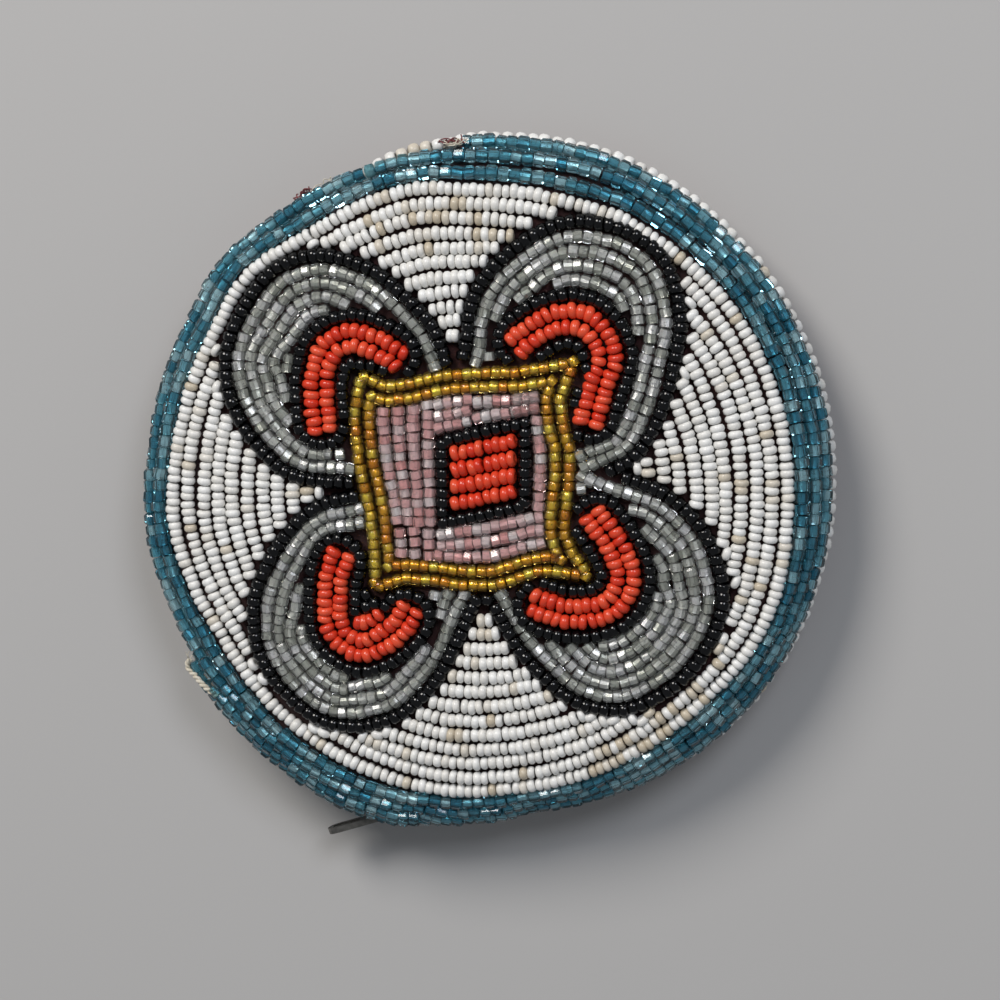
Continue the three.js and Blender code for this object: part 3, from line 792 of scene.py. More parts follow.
@dataclass(frozen=True)
class Bead:
    """One kind of bead or stitch, with its axis along the thread, in millimetres.

    Spread, wobble and tilt say how far beads stray in size, place and turn. Bulge and arc shape a
    round bead. A faceted one has a chamfer, a neck at each end of its bore, a film along a share of
    the bore, and edges that stay sharp past the crease, in degrees.
    """

    name: str
    diameter: float
    length: float
    pitch: float
    cut: Cut
    finish: Finish
    hole: float = 0.9
    sides: int = 10
    spread: float = 0.05
    wobble: float = 0.07
    tilt: float = 0.1
    lining: Finish | None = None
    across: bool = False
    bulge: float = 0.78
    arc: int = 6
    crease: float = 25.0
    chamfer: float = 0.12
    neck: float = 0.4
    lined: float = 0.74

    @property
    def berth(self) -> float:
        """Room that a row of these beads takes sideways, where rows may meet at any angle."""
        return 0.5 * (self.diameter + self.length) if self.cut is Cut.ROUND else self.diameter

    def profile(self) -> list[tuple[float, float]]:
        """Gives the section of the glass, as place along the axis and radius.

        Returns:
            Corners in order round the section, the last and the first at the bore.
        """
        outer, inner, end = self.diameter / 2, self.hole / 2, self.length / 2
        if self.cut is Cut.ROUND:
            low = math.asin((inner / outer) ** (1 / self.bulge))
            turns = np.linspace(low, math.pi - low, self.arc)
            place = end * np.sign(np.cos(turns)) * np.abs(np.cos(turns)) ** self.bulge
            return list(zip(place, outer * np.sin(turns) ** self.bulge))
        edge, neck, core = self.chamfer * self.diameter, self.neck * inner, self.lined * end
        half = [(core, inner), (end, neck), (end, outer - edge), (end - edge, outer)]
        return half + [(-x, r) for x, r in reversed(half)]

    def model(self) -> bpy.types.Object:
        """Turns the section about the axis.

        Returns:
            A mesh object of one bead, along X, or along Y where it lies across its thread.
        """
        section = self.profile()
        turns = np.arange(self.sides) * 2 * np.pi / self.sides
        points = np.array([(x, r * math.cos(t), r * math.sin(t)) for t in turns for x, r in section])
        if self.across:
            points = points[:, [1, 0, 2]] * (-1, 1, 1)
        size = len(section)
        faces = []
        for i in range(self.sides):
            for j in range(size):
                k, n = (j + 1) % size, (i + 1) % self.sides
                faces.append((i * size + j, i * size + k, n * size + k, n * size + j))
        made = mesh_object(f"{self.name}_model", points, faces)
        made.data.shade_smooth()
        if self.cut is not Cut.ROUND:
            made.data.set_sharp_from_angle(angle=math.radians(self.crease))
        bore = made.data.attributes.new("bore", "BOOLEAN", "FACE")
        bore.data.foreach_set("value", ([False] * (size - 1) + [True]) * self.sides)
        return made


@dataclass
class Strand:
    """A run of beads on one thread."""

    points: Points
    lie: Points
    closed: bool = False
    # How cream each point's beads turn: aged beads in places, painted shade on the lower right rim.
    age: np.ndarray | None = None


class BeadTree:
    """The node tree that strings beads along threads."""

    INPUTS = (
        ("Strands", "NodeSocketGeometry"),
        ("Bead", "NodeSocketObject"),
        ("Pitch", "NodeSocketFloat"),
        ("Spread", "NodeSocketFloat"),
        ("Wobble", "NodeSocketFloat"),
        ("Turn", "NodeSocketFloat"),
        ("Tilt", "NodeSocketFloat"),
        ("Seed", "NodeSocketInt"),
        ("Material", "NodeSocketMaterial"),
        ("Lining", "NodeSocketMaterial"),
    )
    # What each kind of random number adds to the seed.
    SHIFT, LEAN, ODD, SHADE = 11, 21, 31, 41

    def __init__(self) -> None:
        """Builds the tree."""
        self.tree = bpy.data.node_groups.new("bead_strands", "GeometryNodeTree")
        for name, kind in self.INPUTS:
            self.tree.interface.new_socket(name, in_out="INPUT", socket_type=kind)
        self.tree.interface.new_socket("Beads", in_out="OUTPUT", socket_type="NodeSocketGeometry")
        sockets = [item for item in self.tree.interface.items_tree if item.in_out == "INPUT"]
        self.sockets = {item.name: item.identifier for item in sockets}
        self._wire()

    def _random(
        self,
        low: float | bpy.types.NodeSocket,
        high: float | bpy.types.NodeSocket,
        seed: bpy.types.NodeSocket,
        step: int,
    ) -> bpy.types.NodeSocket:
        """Adds a random number for each bead.

        Args:
            low: Least value, or the socket that gives it.
            high: Greatest value, or the socket that gives it.
            seed: Socket of the tree's seed.
            step: What is added to the seed.

        Returns:
            The socket of the number.
        """
        own = add_node(self.tree, "ShaderNodeMath", {0: seed, 1: float(step)}, operation="ADD")
        value = add_node(
            self.tree,
            "FunctionNodeRandomValue",
            {2: low, 3: high, 8: own.outputs[0]},
            data_type="FLOAT",
        )
        return value.outputs[1]

    def _count(self, pitch: bpy.types.NodeSocket) -> bpy.types.NodeSocket:
        """Adds the number of beads that fit best on each thread.

        Args:
            pitch: Socket of the beads' pitch.

        Returns:
            The socket of the number, one more than the steps on an open thread.
        """
        value = add_node(self.tree, "GeometryNodeSplineLength").outputs["Length"]
        closed = add_node(self.tree, "GeometryNodeInputSplineCyclic").outputs[0]
        sums = (("DIVIDE", {1: pitch}), ("ROUND", {}), ("ADD", {1: 1.0}), ("SUBTRACT", {1: closed}))
        for operation, other in sums:
            done = add_node(self.tree, "ShaderNodeMath", {0: value, **other}, operation=operation)
            value = done.outputs[0]
        return value

    def _wire(self) -> None:
        """Adds the nodes, from the threads to the finished beads."""
        tree = self.tree
        given = add_node(tree, "NodeGroupInput").outputs
        minus = {}
        for name in ("Spread", "Wobble", "Turn", "Tilt"):
            factors = {0: given[name], 1: -1.0}
            minus[name] = add_node(tree, "ShaderNodeMath", factors, operation="MULTIPLY").outputs[0]

        def stray(name: str, step: int) -> bpy.types.NodeSocket:
            """Adds a random number for each bead, up to one of the given sizes either way."""
            return self._random(minus[name], given[name], given["Seed"], step)

        curve = add_node(tree, "GeometryNodeMeshToCurve", {"Mesh": given["Strands"]})
        even = add_node(
            tree,
            "GeometryNodeResampleCurve",
            {"Curve": curve.outputs["Curve"], "Count": self._count(given["Pitch"])},
            mode="COUNT",
        )
        tangent = add_node(tree, "GeometryNodeInputTangent").outputs["Tangent"]
        lie, bore = (
            add_node(tree, "GeometryNodeInputNamedAttribute", {"Name": name}, data_type=kind)
            for name, kind in (("lie", "FLOAT_VECTOR"), ("bore", "BOOLEAN"))
        )
        stance = add_node(
            tree,
            "FunctionNodeAxesToRotation",
            {"Primary Axis": lie.outputs["Attribute"], "Secondary Axis": tangent},
            primary_axis="Z",
            secondary_axis="X",
        )
        moves = {i: stray("Wobble", self.SHIFT + i) for i in range(3)}
        shift = add_node(tree, "ShaderNodeCombineXYZ", moves).outputs[0]
        place = {"Geometry": even.outputs["Curve"], "Offset": shift}
        moved = add_node(tree, "GeometryNodeSetPosition", place)
        leans = {i: stray(name, self.LEAN + i) for i, name in enumerate(("Turn", "Tilt", "Tilt"))}
        lean = add_node(tree, "ShaderNodeCombineXYZ", leans).outputs[0]
        turn = {"Rotation": stance.outputs[0], "Rotate By": lean}
        turned = add_node(tree, "FunctionNodeRotateRotation", turn, rotation_space="LOCAL")
        odd = ({0: stray("Spread", self.ODD + i), 1: 1.0} for i in range(2))
        width, length = (
            add_node(tree, "ShaderNodeMath", terms, operation="ADD").outputs[0] for terms in odd
        )
        size = add_node(tree, "ShaderNodeCombineXYZ", {0: length, 1: width, 2: width})
        model = add_node(tree, "GeometryNodeObjectInfo", {"Object": given["Bead"]})
        beads = add_node(
            tree,
            "GeometryNodeInstanceOnPoints",
            {
                "Points": moved.outputs["Geometry"],
                "Instance": model.outputs["Geometry"],
                "Rotation": turned.outputs[0],
                "Scale": size.outputs[0],
            },
        )
        shade = add_node(
            tree,
            "GeometryNodeStoreNamedAttribute",
            {
                "Geometry": beads.outputs["Instances"],
                "Name": "shade",
                "Value": self._random(0.0, 1.0, given["Seed"], self.SHADE),
            },
            data_type="FLOAT",
            domain="INSTANCE",
        )
        real = add_node(tree, "GeometryNodeRealizeInstances", {0: shade.outputs["Geometry"]})
        glass = {"Geometry": real.outputs["Geometry"], "Material": given["Material"]}
        dressed = add_node(tree, "GeometryNodeSetMaterial", glass)
        film = {"Geometry": dressed.outputs["Geometry"], "Material": given["Lining"]}
        film["Selection"] = bore.outputs["Attribute"]
        lined = add_node(tree, "GeometryNodeSetMaterial", film)
        add_node(tree, "NodeGroupOutput", {"Beads": lined.outputs["Geometry"]})

    def string(
        self, name: str, bead: Bead, strands: Sequence[Strand], seed: int
    ) -> bpy.types.Object:
        """Strings beads along threads and makes the result a plain mesh.

        Args:
            name: Name of the new piece.
            bead: Kind of bead.
            strands: Threads in space.
            seed: Number that fixes what is random.

        Returns:
            The piece.
        """
        threads = self._threads(f"{name}_threads", strands)
        model = bead.model()
        glass = bead.finish.material()
        values = {
            "Bead": model,
            "Pitch": bead.pitch * MM,
            "Spread": bead.spread,
            "Wobble": bead.wobble * MM,
            "Turn": math.pi if bead.cut is Cut.FACETED else bead.tilt,
            "Tilt": bead.tilt,
            "Seed": seed,
            "Material": glass,
            "Lining": bead.lining.material() if bead.lining else glass,
        }
        modifier = threads.modifiers.new("strands", "NODES")
        modifier.node_group = self.tree
        for key, value in values.items():
            modifier[self.sockets[key]] = value
        threads.update_tag()
        graph = bpy.context.evaluated_depsgraph_get()
        mesh = bpy.data.meshes.new_from_object(
            threads.evaluated_get(graph), preserve_all_data_layers=True, depsgraph=graph
        )
        mesh.name = name
        for spent in ("lie", "bore"):
            if spent in mesh.attributes:
                mesh.attributes.remove(mesh.attributes[spent])
        piece = bpy.data.objects.new(name, mesh)
        bpy.context.scene.collection.objects.link(piece)
        for spent in (threads, model):
            bpy.data.objects.remove(spent)
        return piece

    @staticmethod
    def _threads(name: str, strands: Sequence[Strand]) -> bpy.types.Object:
        """Makes one mesh of loose edges from all threads.

        Args:
            name: Name of the object.
            strands: Threads in space.

        Returns:
            A mesh object whose points hold the cloth's normal and the beads' cream tint.
        """
        edges, first = [], 0
        for strand in strands:
            count = len(strand.points)
            edges += [(first + i, first + i + 1) for i in range(count - 1)]
            if strand.closed:
                edges.append((first + count - 1, first))
            first += count
        made = mesh_object(name, np.vstack([s.points for s in strands]), (), edges)
        lie = made.data.attributes.new("lie", "FLOAT_VECTOR", "POINT")
        lies = np.vstack([s.lie for s in strands])
        lie.data.foreach_set("vector", lies.astype(np.float32).ravel())
        cream_and_shade_values = [np.zeros(len(s.points)) if s.age is None else s.age for s in strands]
        age = made.data.attributes.new("age", "FLOAT", "POINT")
        age.data.foreach_set("value", np.concatenate(cream_and_shade_values).astype(np.float32))
        return made


@dataclass(frozen=True)
class Petal:
    """One petal, as shares of the white ground's radius, both lines anticlockwise round it.

    A third coral row may run along the inside of the crescent, between two shares of its length.
    """

    name: str
    outline: Table
    crescent: Table
    third: tuple[float, float] | None = None


@dataclass
class Row:
    """A row that is laid: its line in the plane, and half the room that it takes."""

    line: Points
    half: float


PETALS = (
    Petal(
        "upper_left",
        outline=(
            (-0.1, 0.424), (-0.144, 0.535), (-0.245, 0.641), (-0.358, 0.72), (-0.514, 0.758),
            (-0.668, 0.713), (-0.779, 0.581), (-0.838, 0.427), (-0.816, 0.273), (-0.738, 0.147),
            (-0.612, 0.043), (-0.422, 0.025),
        ),
        crescent=(
            (-0.509, 0.198), (-0.519, 0.275), (-0.519, 0.371), (-0.488, 0.46), (-0.405, 0.496),
            (-0.322, 0.47), (-0.255, 0.432),
        ),
    ),
    Petal(
        "upper_right",
        outline=(
            (0.436, 0.087), (0.516, 0.136), (0.597, 0.282), (0.639, 0.459), (0.648, 0.587),
            (0.603, 0.736), (0.519, 0.82), (0.407, 0.866), (0.271, 0.872), (0.128, 0.8),
            (-0.001, 0.659), (-0.044, 0.449),
        ),
        crescent=(
            (0.125, 0.481), (0.197, 0.538), (0.276, 0.568), (0.349, 0.56), (0.4, 0.51),
            (0.421, 0.442), (0.391, 0.348), (0.361, 0.238),
        ),
    ),
    Petal(
        "lower_left",
        outline=(
            (-0.407, -0.019), (-0.539, -0.06), (-0.654, -0.176), (-0.735, -0.324), (-0.756, -0.433),
            (-0.74, -0.557), (-0.673, -0.671), (-0.551, -0.77), (-0.415, -0.795), (-0.263, -0.745),
            (-0.128, -0.609), (-0.002, -0.349),
        ),
        crescent=(
            (-0.451, -0.213), (-0.475, -0.282), (-0.482, -0.373), (-0.471, -0.472),
            (-0.392, -0.526), (-0.307, -0.49), (-0.25, -0.44), (-0.221, -0.39),
        ),
        third=(0.5, 0.78),
    ),
    Petal(
        "lower_right",
        outline=(
            (0.063, -0.378), (0.131, -0.5), (0.22, -0.603), (0.326, -0.682), (0.466, -0.704),
            (0.608, -0.644), (0.717, -0.532), (0.785, -0.391), (0.791, -0.257), (0.729, -0.102),
            (0.609, 0.014), (0.428, 0.084),
        ),
        crescent=(
            (0.378, -0.061), (0.436, -0.137), (0.477, -0.217), (0.481, -0.288), (0.441, -0.352),
            (0.364, -0.384), (0.276, -0.384), (0.187, -0.355),
        ),
    ),
)
PETAL_NAMES = tuple(petal.name for petal in PETALS)


@dataclass
class Flower:
    """Lines and rows of the bead flower, drawn flat in millimetres and laid on the dome.

    The frame's line, the centre and the petals are shares of the white ground's radius. The frame's
    four sides have the same number of corners. What is named for beads counts in white beads. A
    patch of cream tint has its angle and its width in degrees, its place and its depth as shares of
    the ground's radius, and its strength. The patch in the top field stands for cream beads; the one
    on the lower right rim is painted shade.
    """

    dome: Dome
    size: float = 0.985
    step: float = 0.3
    frame_line: Table = (
        (0.276, 0.401), (0.214, 0.387), (0.134, 0.374), (0.009, 0.37), (-0.079, 0.362),
        (-0.153, 0.348), (-0.228, 0.328), (-0.302, 0.318), (-0.364, 0.342), (-0.377, 0.277),
        (-0.379, 0.225), (-0.368, 0.1), (-0.343, -0.01), (-0.33, -0.081), (-0.323, -0.151),
        (-0.318, -0.207), (-0.316, -0.288), (-0.253, -0.264), (-0.182, -0.265), (-0.036, -0.28),
        (0.061, -0.275), (0.135, -0.25), (0.179, -0.231), (0.241, -0.224), (0.322, -0.237),
        (0.289, -0.193), (0.265, -0.135), (0.264, -0.068), (0.28, 0.079), (0.277, 0.152),
        (0.258, 0.225), (0.246, 0.312),
    )
    frame_gap: float = 0.3
    frame_mitre: float = 0.5
    frame_room: float = 1.2
    centre: tuple[float, float] = (0.022, 0.069)
    centre_slope: float = 13.0
    centre_rows: int = 4
    field_rows: int = 6
    fill_rows: int = 5
    fill_rest: float = 0.6
    fill_reach: float = 3.5
    fill_probe: float = 0.1
    fill_even: int = 10
    heading_steps: int = 4
    beside_rows: int = 2
    hug_rows: int = 2
    hollow_rows: int = 4
    tip_trim: float = 1.3
    ground_rows: int = 16
    ground_steps: int = 900
    ground_waves: Table = ((0.1, 3), (0.07, 8))
    ground_start: tuple[float, float] = (0.4, 0.5)
    ground_gap: float = 0.4
    swell_rows: int = 9
    plug_squeeze: float = 0.56
    plug_grid: float = 0.35
    plug_margin: float = 1.0
    plug_spacing: float = 0.85
    plug_half: float = 0.05
    outline_beads: float = 1.03
    fill_beads: float = 0.91
    crescent_beads: float = 1.1
    frame_beads: float = 0.98
    field_beads: float = 0.94
    ground_beads: float = 1.02
    centre_beads: float = 1.13
    centre_beads_long: float = 4.65
    # Cream patches: the top field's is aged beads, the lower right rim's is painted shade.
    cream_and_shade_patches: tuple[tuple[float, ...], ...] = (
        (92.0, 22.0, 0.84, 0.09, 0.7),
        (-62.0, 26.0, 0.97, 0.05, 0.8),
    )

    def __post_init__(self) -> None:
        """Works out the sizes and lines that everything else follows."""
        bead = self.dome.bead
        self.radius = self.dome.radius_at(self.dome.ground_arc())
        self.outline_width, self.fill_pitch = self.outline_beads * bead, self.fill_beads * bead
        self.crescent_pitch, self.frame_pitch = self.crescent_beads * bead, self.frame_beads * bead
        self.field_pitch, self.ground_pitch = self.field_beads * bead, self.ground_beads * bead
        self.centre_pitch = self.centre_beads * bead
        self.centre_length = self.centre_beads_long * bead
        self.ring = self.crescent_pitch + self.outline_width
        self.outlines = [smooth(self._placed(p.outline), self.step) for p in PETALS]
        self.crescents = [smooth(self._placed(p.crescent), self.step) for p in PETALS]
        trim = round(self.tip_trim / self.step)
        self.cores = [line[trim:-trim] for line in self.crescents]
        self.frame_corners = self._placed(self.frame_line)
        self.taken: list[Row] = []

    def _placed(self, shares: Sequence[tuple[float, float]]) -> Points:
        """Turns shares of the ground's radius to millimetres."""
        return np.array(shares) * self.size * self.radius

    def centre_corners(self, margin: float) -> Points:
        """Gives the corners of the leaning block of centre rows.

        Args:
            margin: How far the corners lie outside the rows.

        Returns:
            Four corners, anticlockwise.
        """
        slope = math.radians(self.centre_slope)
        across = self.centre_length / 2 + margin
        up = self.centre_rows * self.centre_pitch / 2 / math.cos(slope) + margin
        rise = across * math.tan(slope)
        around = np.array([(across, up + rise), (-across, up - rise)])
        return np.vstack([around, -around]) + self._placed([self.centre])

    def on_dome(
        self, flat: Points, bead: Bead, closed: bool = False, age: np.ndarray | None = None
    ) -> Strand:
        """Lays a line of the drawing on the cloth, so that its beads rest there."""
        points, lie = self.dome.lay(flat, bead.diameter / 2)
        return Strand(points, lie, closed, age)

    def claim(
        self,
        line: Points,
        bead: Bead,
        lay: Lay,
        closed: bool = False,
        keep: Keep | None = None,
    ) -> list[Strand]:
        """Strings a line where its ground is still free, and marks that ground as taken.

        Args:
            line: Points in the plane.
            bead: Kind of bead.
            lay: How the row is laid.
            closed: Whether the last point joins the first.
            keep: Tells which points a bead may sit at, or None for all.

        Returns:
            One strand for each stretch that is left.
        """
        if len(line) < 2:
            return []
        squeeze, least = lay.value
        line = spaced(line, self.step, closed)
        good = np.ones(len(line), bool) if keep is None else keep(line)
        half = bead.berth / 2
        for row in self.taken:
            near = np.sqrt(((line[:, None] - row.line) ** 2).sum(axis=2)).min(axis=1)
            good &= near > squeeze * (half + row.half)
        whole = closed and bool(good.all())
        parts = [line] if whole else stretches(line, good, closed)
        parts = [part for part in parts if len(part) * self.step > least * bead.pitch]
        self.taken += [Row(part, half) for part in parts]
        return [self.on_dome(part, bead, whole, self.age(part)) for part in parts]

    def claim_each(
        self, lines: Iterable[Points], bead: Bead, lay: Lay, closed: bool = False
    ) -> list[Strand]:
        """Claims lines one after the other, each as claim does."""
        return [strand for line in lines for strand in self.claim(line, bead, lay, closed)]

    def age(self, flat: Points) -> np.ndarray:
        """Tells where beads go cream: aged in the top field, painted shade on the lower right rim.
        """
        radius, angle = from_middle(flat) / self.radius, bearing(flat)
        patches = (
            strength * np.exp(-(((angle - at) / wide) ** 2) - ((radius - far) / deep) ** 2)
            for at, wide, far, deep, strength in self.cream_and_shade_patches
        )
        return np.clip(sum(patches), 0, 1)

    def off_frame(self, flat: Points, margin: float = 0.0) -> np.ndarray:
        """Tells which points lie outside the gold frame by a margin."""
        clear = distance_to(flat, self.frame_corners, closed=True) > self.frame_pitch + margin
        return clear & ~inside(flat, self.frame_corners)

    def clear(self, flat: Points) -> np.ndarray:
        """Tells which points are clear of the gold frame."""
        return self.off_frame(flat, self.frame_gap)

    def on_silver(self, flat: Points) -> np.ndarray:
        """Tells which points lie on silver ground, clear of the gold frame."""
        return self.clear(flat) & (self.zones(flat) == Ground.SILVER)

    def ground(self, bead: Bead, rng: np.random.Generator) -> list[Strand]:
        """Draws the white rows round the flower.

        Args:
            bead: White bead.
            rng: Source of the rows' small waves.

        Returns:
            Strands: rings from the border inwards, then short rows along the petals.
        """
        turns = np.linspace(0, 2 * np.pi, self.ground_steps, endpoint=False)
        around = on_circle(turns)
        strands = []
        for row in range(self.ground_rows):
            radius = self.dome.radius_at(self.dome.ground_arc() - (row + 0.5) * self.ground_pitch)
            starts = rng.uniform(0, 2 * np.pi, len(self.ground_waves))
            wave = sum(
                high * np.sin(count * turns + start)
                for (high, count), start in zip(self.ground_waves, starts)
            )
            swell = self.dome.swell(around) * max(1 - row / self.swell_rows, 0)
            ring = (radius + swell + (wave if row else 0))[:, None] * around
            lay = Lay.GROUND if row else Lay.GROUND_EDGE
            strands += self.claim(ring, bead, lay, True, self.outside)
        for line in self.outlines:
            beside = offset(line, -(self.outline_width + bead.diameter) / 2)
            strands += self.claim(beside, bead, Lay.GROUND, False, self.outside)
        return strands

    def outside(self, flat: Points) -> np.ndarray:
        """Tells which points lie on the white ground, which starts further in at the bottom."""
        far = from_middle(flat)
        bottom = flat[:, 1] < -abs(flat[:, 0])
        white = far / self.radius > np.where(bottom, *self.ground_start)
        for line in self.outlines:
            white &= ~inside(flat, line)
        return white & (far < self.radius + self.dome.swell(flat) - self.ground_gap)

    def petal_outlines(self, bead: Bead) -> list[Strand]:
        """Draws the black row round each petal."""
        return self.claim_each(self.outlines, bead, Lay.OUTLINE)

    def crescent_outlines(self, bead: Bead) -> list[Strand]:
        """Draws the black row round each coral crescent."""
        reach = self.crescent_pitch + self.outline_width / 2
        loops = [loop_around(line, reach) for line in self.cores]
        return self.claim_each(loops, bead, Lay.OUTLINE, True)

    def hollows(self, bead: Bead) -> list[Strand]:
        """Draws the black rows in what is left between the frame, the crescents and the petals."""
        steps = np.arange(self.hollow_rows) + 0.5
        lines = [self._inset(-(self.frame_pitch + step * self.outline_width)) for step in steps]
        return self.claim_each(lines, bead, Lay.HOLLOW, True)

    def centre_outline(self, bead: Bead) -> list[Strand]:
        """Draws the black row round the centre."""
        return self.claim(self.centre_corners(self.outline_width / 2), bead, Lay.FREE, True)

    def fills(self, bead: Bead) -> list[Strand]:
        """Draws the silver rows inside each petal, spread evenly from its outline to the crescent's.

        Args:
            bead: Silver bead.

        Returns:
            Strands: rows along the outline, then short ones round the crescent, petal by petal.
        """
        strands = []
        for outline, crescent in zip(self.outlines, self.cores):
            outline = self._longer(outline)
            inward = left_of(unit(np.gradient(outline, axis=0)))
            rim = outline + inward * self.outline_width / 2
            room = self._room(rim, inward, crescent)
            rows = np.maximum(np.round(room / self.fill_pitch), 1)
            width = self._evened(room / rows)
            for row in range(self.fill_rows):
                lane = rim + inward * ((row + 0.5) * width)[:, None]
                lay = Lay.FILL if row else Lay.FILL_EDGE
                for part in stretches(lane, row < rows):
                    strands += self.claim(part, bead, lay, False, self.clear)
            for row in range(self.hug_rows):
                hug = loop_around(crescent, self.ring + (row + 0.5) * self.fill_pitch)
                strands += self.claim(hug, bead, Lay.HUG, True, self.on_silver)
        return strands

    def _room(self, rim: Points, inward: Points, crescent: Points) -> np.ndarray:
        """Measures the room for silver rows along the inside of a petal's outline.

        Args:
            rim: Inner edge of the outline's row.
            inward: Direction into the petal at each point of it.
            crescent: Middle line of the petal's crescent.

        Returns:
            Depth to the crescent's outline or to the frame at each point, evened out.
        """
        most = (self.fill_rows + self.fill_rest) * self.fill_pitch
        depths = np.arange(self.fill_probe, most, self.fill_probe)
        probes = (rim[:, None] + depths[:, None] * inward[:, None]).reshape(-1, 2)
        free = (distance_to(probes, crescent) > self.ring) & self.off_frame(probes)
        free = free.reshape(len(rim), -1)
        room = np.where(free.all(axis=1), depths[-1], depths[np.argmin(free, axis=1)])
        return self._evened(room)

    def _evened(self, values: np.ndarray) -> np.ndarray:
        """Evens out values along a line, each with its neighbours."""
        count = 2 * self.fill_even + 1
        padded = np.pad(values, self.fill_even, mode="edge")
        return np.convolve(padded, np.ones(count) / count, mode="valid")

    def _longer(self, line: Points) -> Points:
        """Lengthens an open line straight on at both ends, if it is long enough to have headings.

        Args:
            line: Points of the line.

        Returns:
            Points of the longer line.
        """
        back = self.heading_steps
        if len(line) < back + 2:
            return line
        ends = []
        for tip, before in ((line[0], line[back]), (line[-1], line[-1 - back])):
            ahead = (tip - before) / np.linalg.norm(tip - before)
            ends.append(tip + ahead * np.arange(self.step, self.fill_reach, self.step)[:, None])
        return np.vstack([ends[0][::-1], line, ends[1]])

    def crescent_rows(self, bead: Bead) -> list[Strand]:
        """Draws the pair of coral rows in each petal, and the third where there is one.

        Args:
            bead: Coral bead.

        Returns:
            Strands, petal by petal.
        """
        strands = []
        for petal, line in zip(PETALS, self.crescents):
            pair = [offset(line, side * self.crescent_pitch / 2) for side in (1, -1)]
            strands += self.claim_each(pair, bead, Lay.FREE)
            if petal.third:
                first, last = (int(share * len(line)) for share in petal.third)
                inner = offset(line, 1.5 * self.crescent_pitch)[first:last]
                strands += self.claim(inner, bead, Lay.THIRD)
        return strands

    def centre_strands(self, bead: Bead) -> list[Strand]:
        """Draws the coral rows in the middle of the flower.

        Args:
            bead: Coral bead.

        Returns:
            One strand for each row, from the bottom.
        """
        slope = math.radians(self.centre_slope)
        along = np.array([math.cos(slope), math.sin(slope)])
        middle = self._placed([self.centre])[0]
        half = (self.centre_length / 2 - bead.length / 2) / math.cos(slope)
        lines = []
        for row in range(self.centre_rows):
            up = (row - (self.centre_rows - 1) / 2) * self.centre_pitch / math.cos(slope)
            start = middle + np.array([0, up]) - along * half
            lines.append(np.stack([start, start + 2 * along * half]))
        return self.claim_each(lines, bead, Lay.FREE)

    def frame_rows(self, bead: Bead) -> list[Strand]:
        """Draws the two gold rows round the field."""
        lines = [self._inset(side * self.frame_pitch / 2) for side in (1, -1)]
        return self.claim_each(lines, bead, Lay.FREE, True)

    def field(self, bead: Bead) -> list[Strand]:
        """Draws the pink rows side by side, each spread evenly from the gold frame to the centre.

        Args:
            bead: Pink bead.

        Returns:
            Strands: upright ones on the left, level ones above and below, upright ones on the right.
        """
        frame = self._inset(self.frame_pitch)
        around = np.vstack([frame, frame[:1]])
        count = len(frame) // 4
        upper_right, upper_left, lower_left, lower_right = self.centre_corners(self.outline_width)
        # The frame's side, the axis that its rows are stepped along, and the ends of what it faces.
        sides = (
            (1, 0, upper_left, lower_left),
            (0, 1, upper_left, upper_right),
            (2, 1, lower_left, lower_right),
            (3, 0, lower_right, upper_right),
        )
        strands = []
        for side, axis, start, end in sides:
            edge = spaced(around[side * count : (side + 1) * count + 1], self.step)
            share = (edge[:, 1 - axis] - start[1 - axis]) / (end[1 - axis] - start[1 - axis])
            reach = start[axis] + share * (end[axis] - start[axis]) - edge[:, axis]
            rows = np.clip(np.round(np.abs(reach) / self.field_pitch), 1, self.field_rows)
            for most in sorted(set(rows), reverse=True):
                for row in range(int(most)):
                    lane = edge.copy()
                    lane[:, axis] += reach * (row + 0.5) / most
                    for part in map(self._longer, stretches(lane, rows == most)):
                        strands += self.claim(
                            part, bead, Lay.FIELD, False, lambda flat: inside(flat, frame)
                        )
        return strands

    def _inset(self, distance: float) -> Points:
        """Moves the frame's corners inwards along their bisectors.

        Args:
            distance: How far each side moves, less than 0 for outwards.

        Returns:
            The moved corners.
        """
        corners = self.frame_corners
        into = unit(corners - np.roll(corners, 1, axis=0))
        outof = unit(np.roll(corners, -1, axis=0) - corners)
        left = unit(left_of(into + outof))
        share = (left * left_of(outof)).sum(axis=1, keepdims=True)
        return corners + distance * left / np.maximum(share, self.frame_mitre)

    def zones(self, flat: Points) -> np.ndarray:
        """Tells which ground each point lies on.

        Args:
            flat: Points in the plane.

        Returns:
            The number of each point's ground.
        """
        zone = np.full(len(flat), int(Ground.BLACK))
        fringe = self.outline_width / 2 + self.beside_rows * self.fill_pitch
        for outline, crescent in zip(self.outlines, self.cores):
            outline = self._longer(outline)
            nearest = ((flat[:, None] - crescent) ** 2).sum(axis=2).argmin(axis=1)
            along, away = np.gradient(crescent, axis=0)[nearest], flat - crescent[nearest]
            convex = along[:, 0] * away[:, 1] < along[:, 1] * away[:, 0]
            beside = distance_to(flat, outline) < fringe
            free = distance_to(flat, crescent) > self.ring
            zone[inside(flat, outline) & free & (convex | beside)] = Ground.SILVER
        framed = inside(flat, self.frame_corners)
        to_frame = distance_to(flat, self.frame_corners, closed=True)
        zone[framed] = Ground.PINK
        zone[framed & inside(flat, self.centre_corners(self.outline_width))] = Ground.BLACK
        zone[to_frame < self.frame_room * self.frame_pitch] = Ground.GOLD
        zone[self.outside(flat)] = Ground.WHITE
        return zone

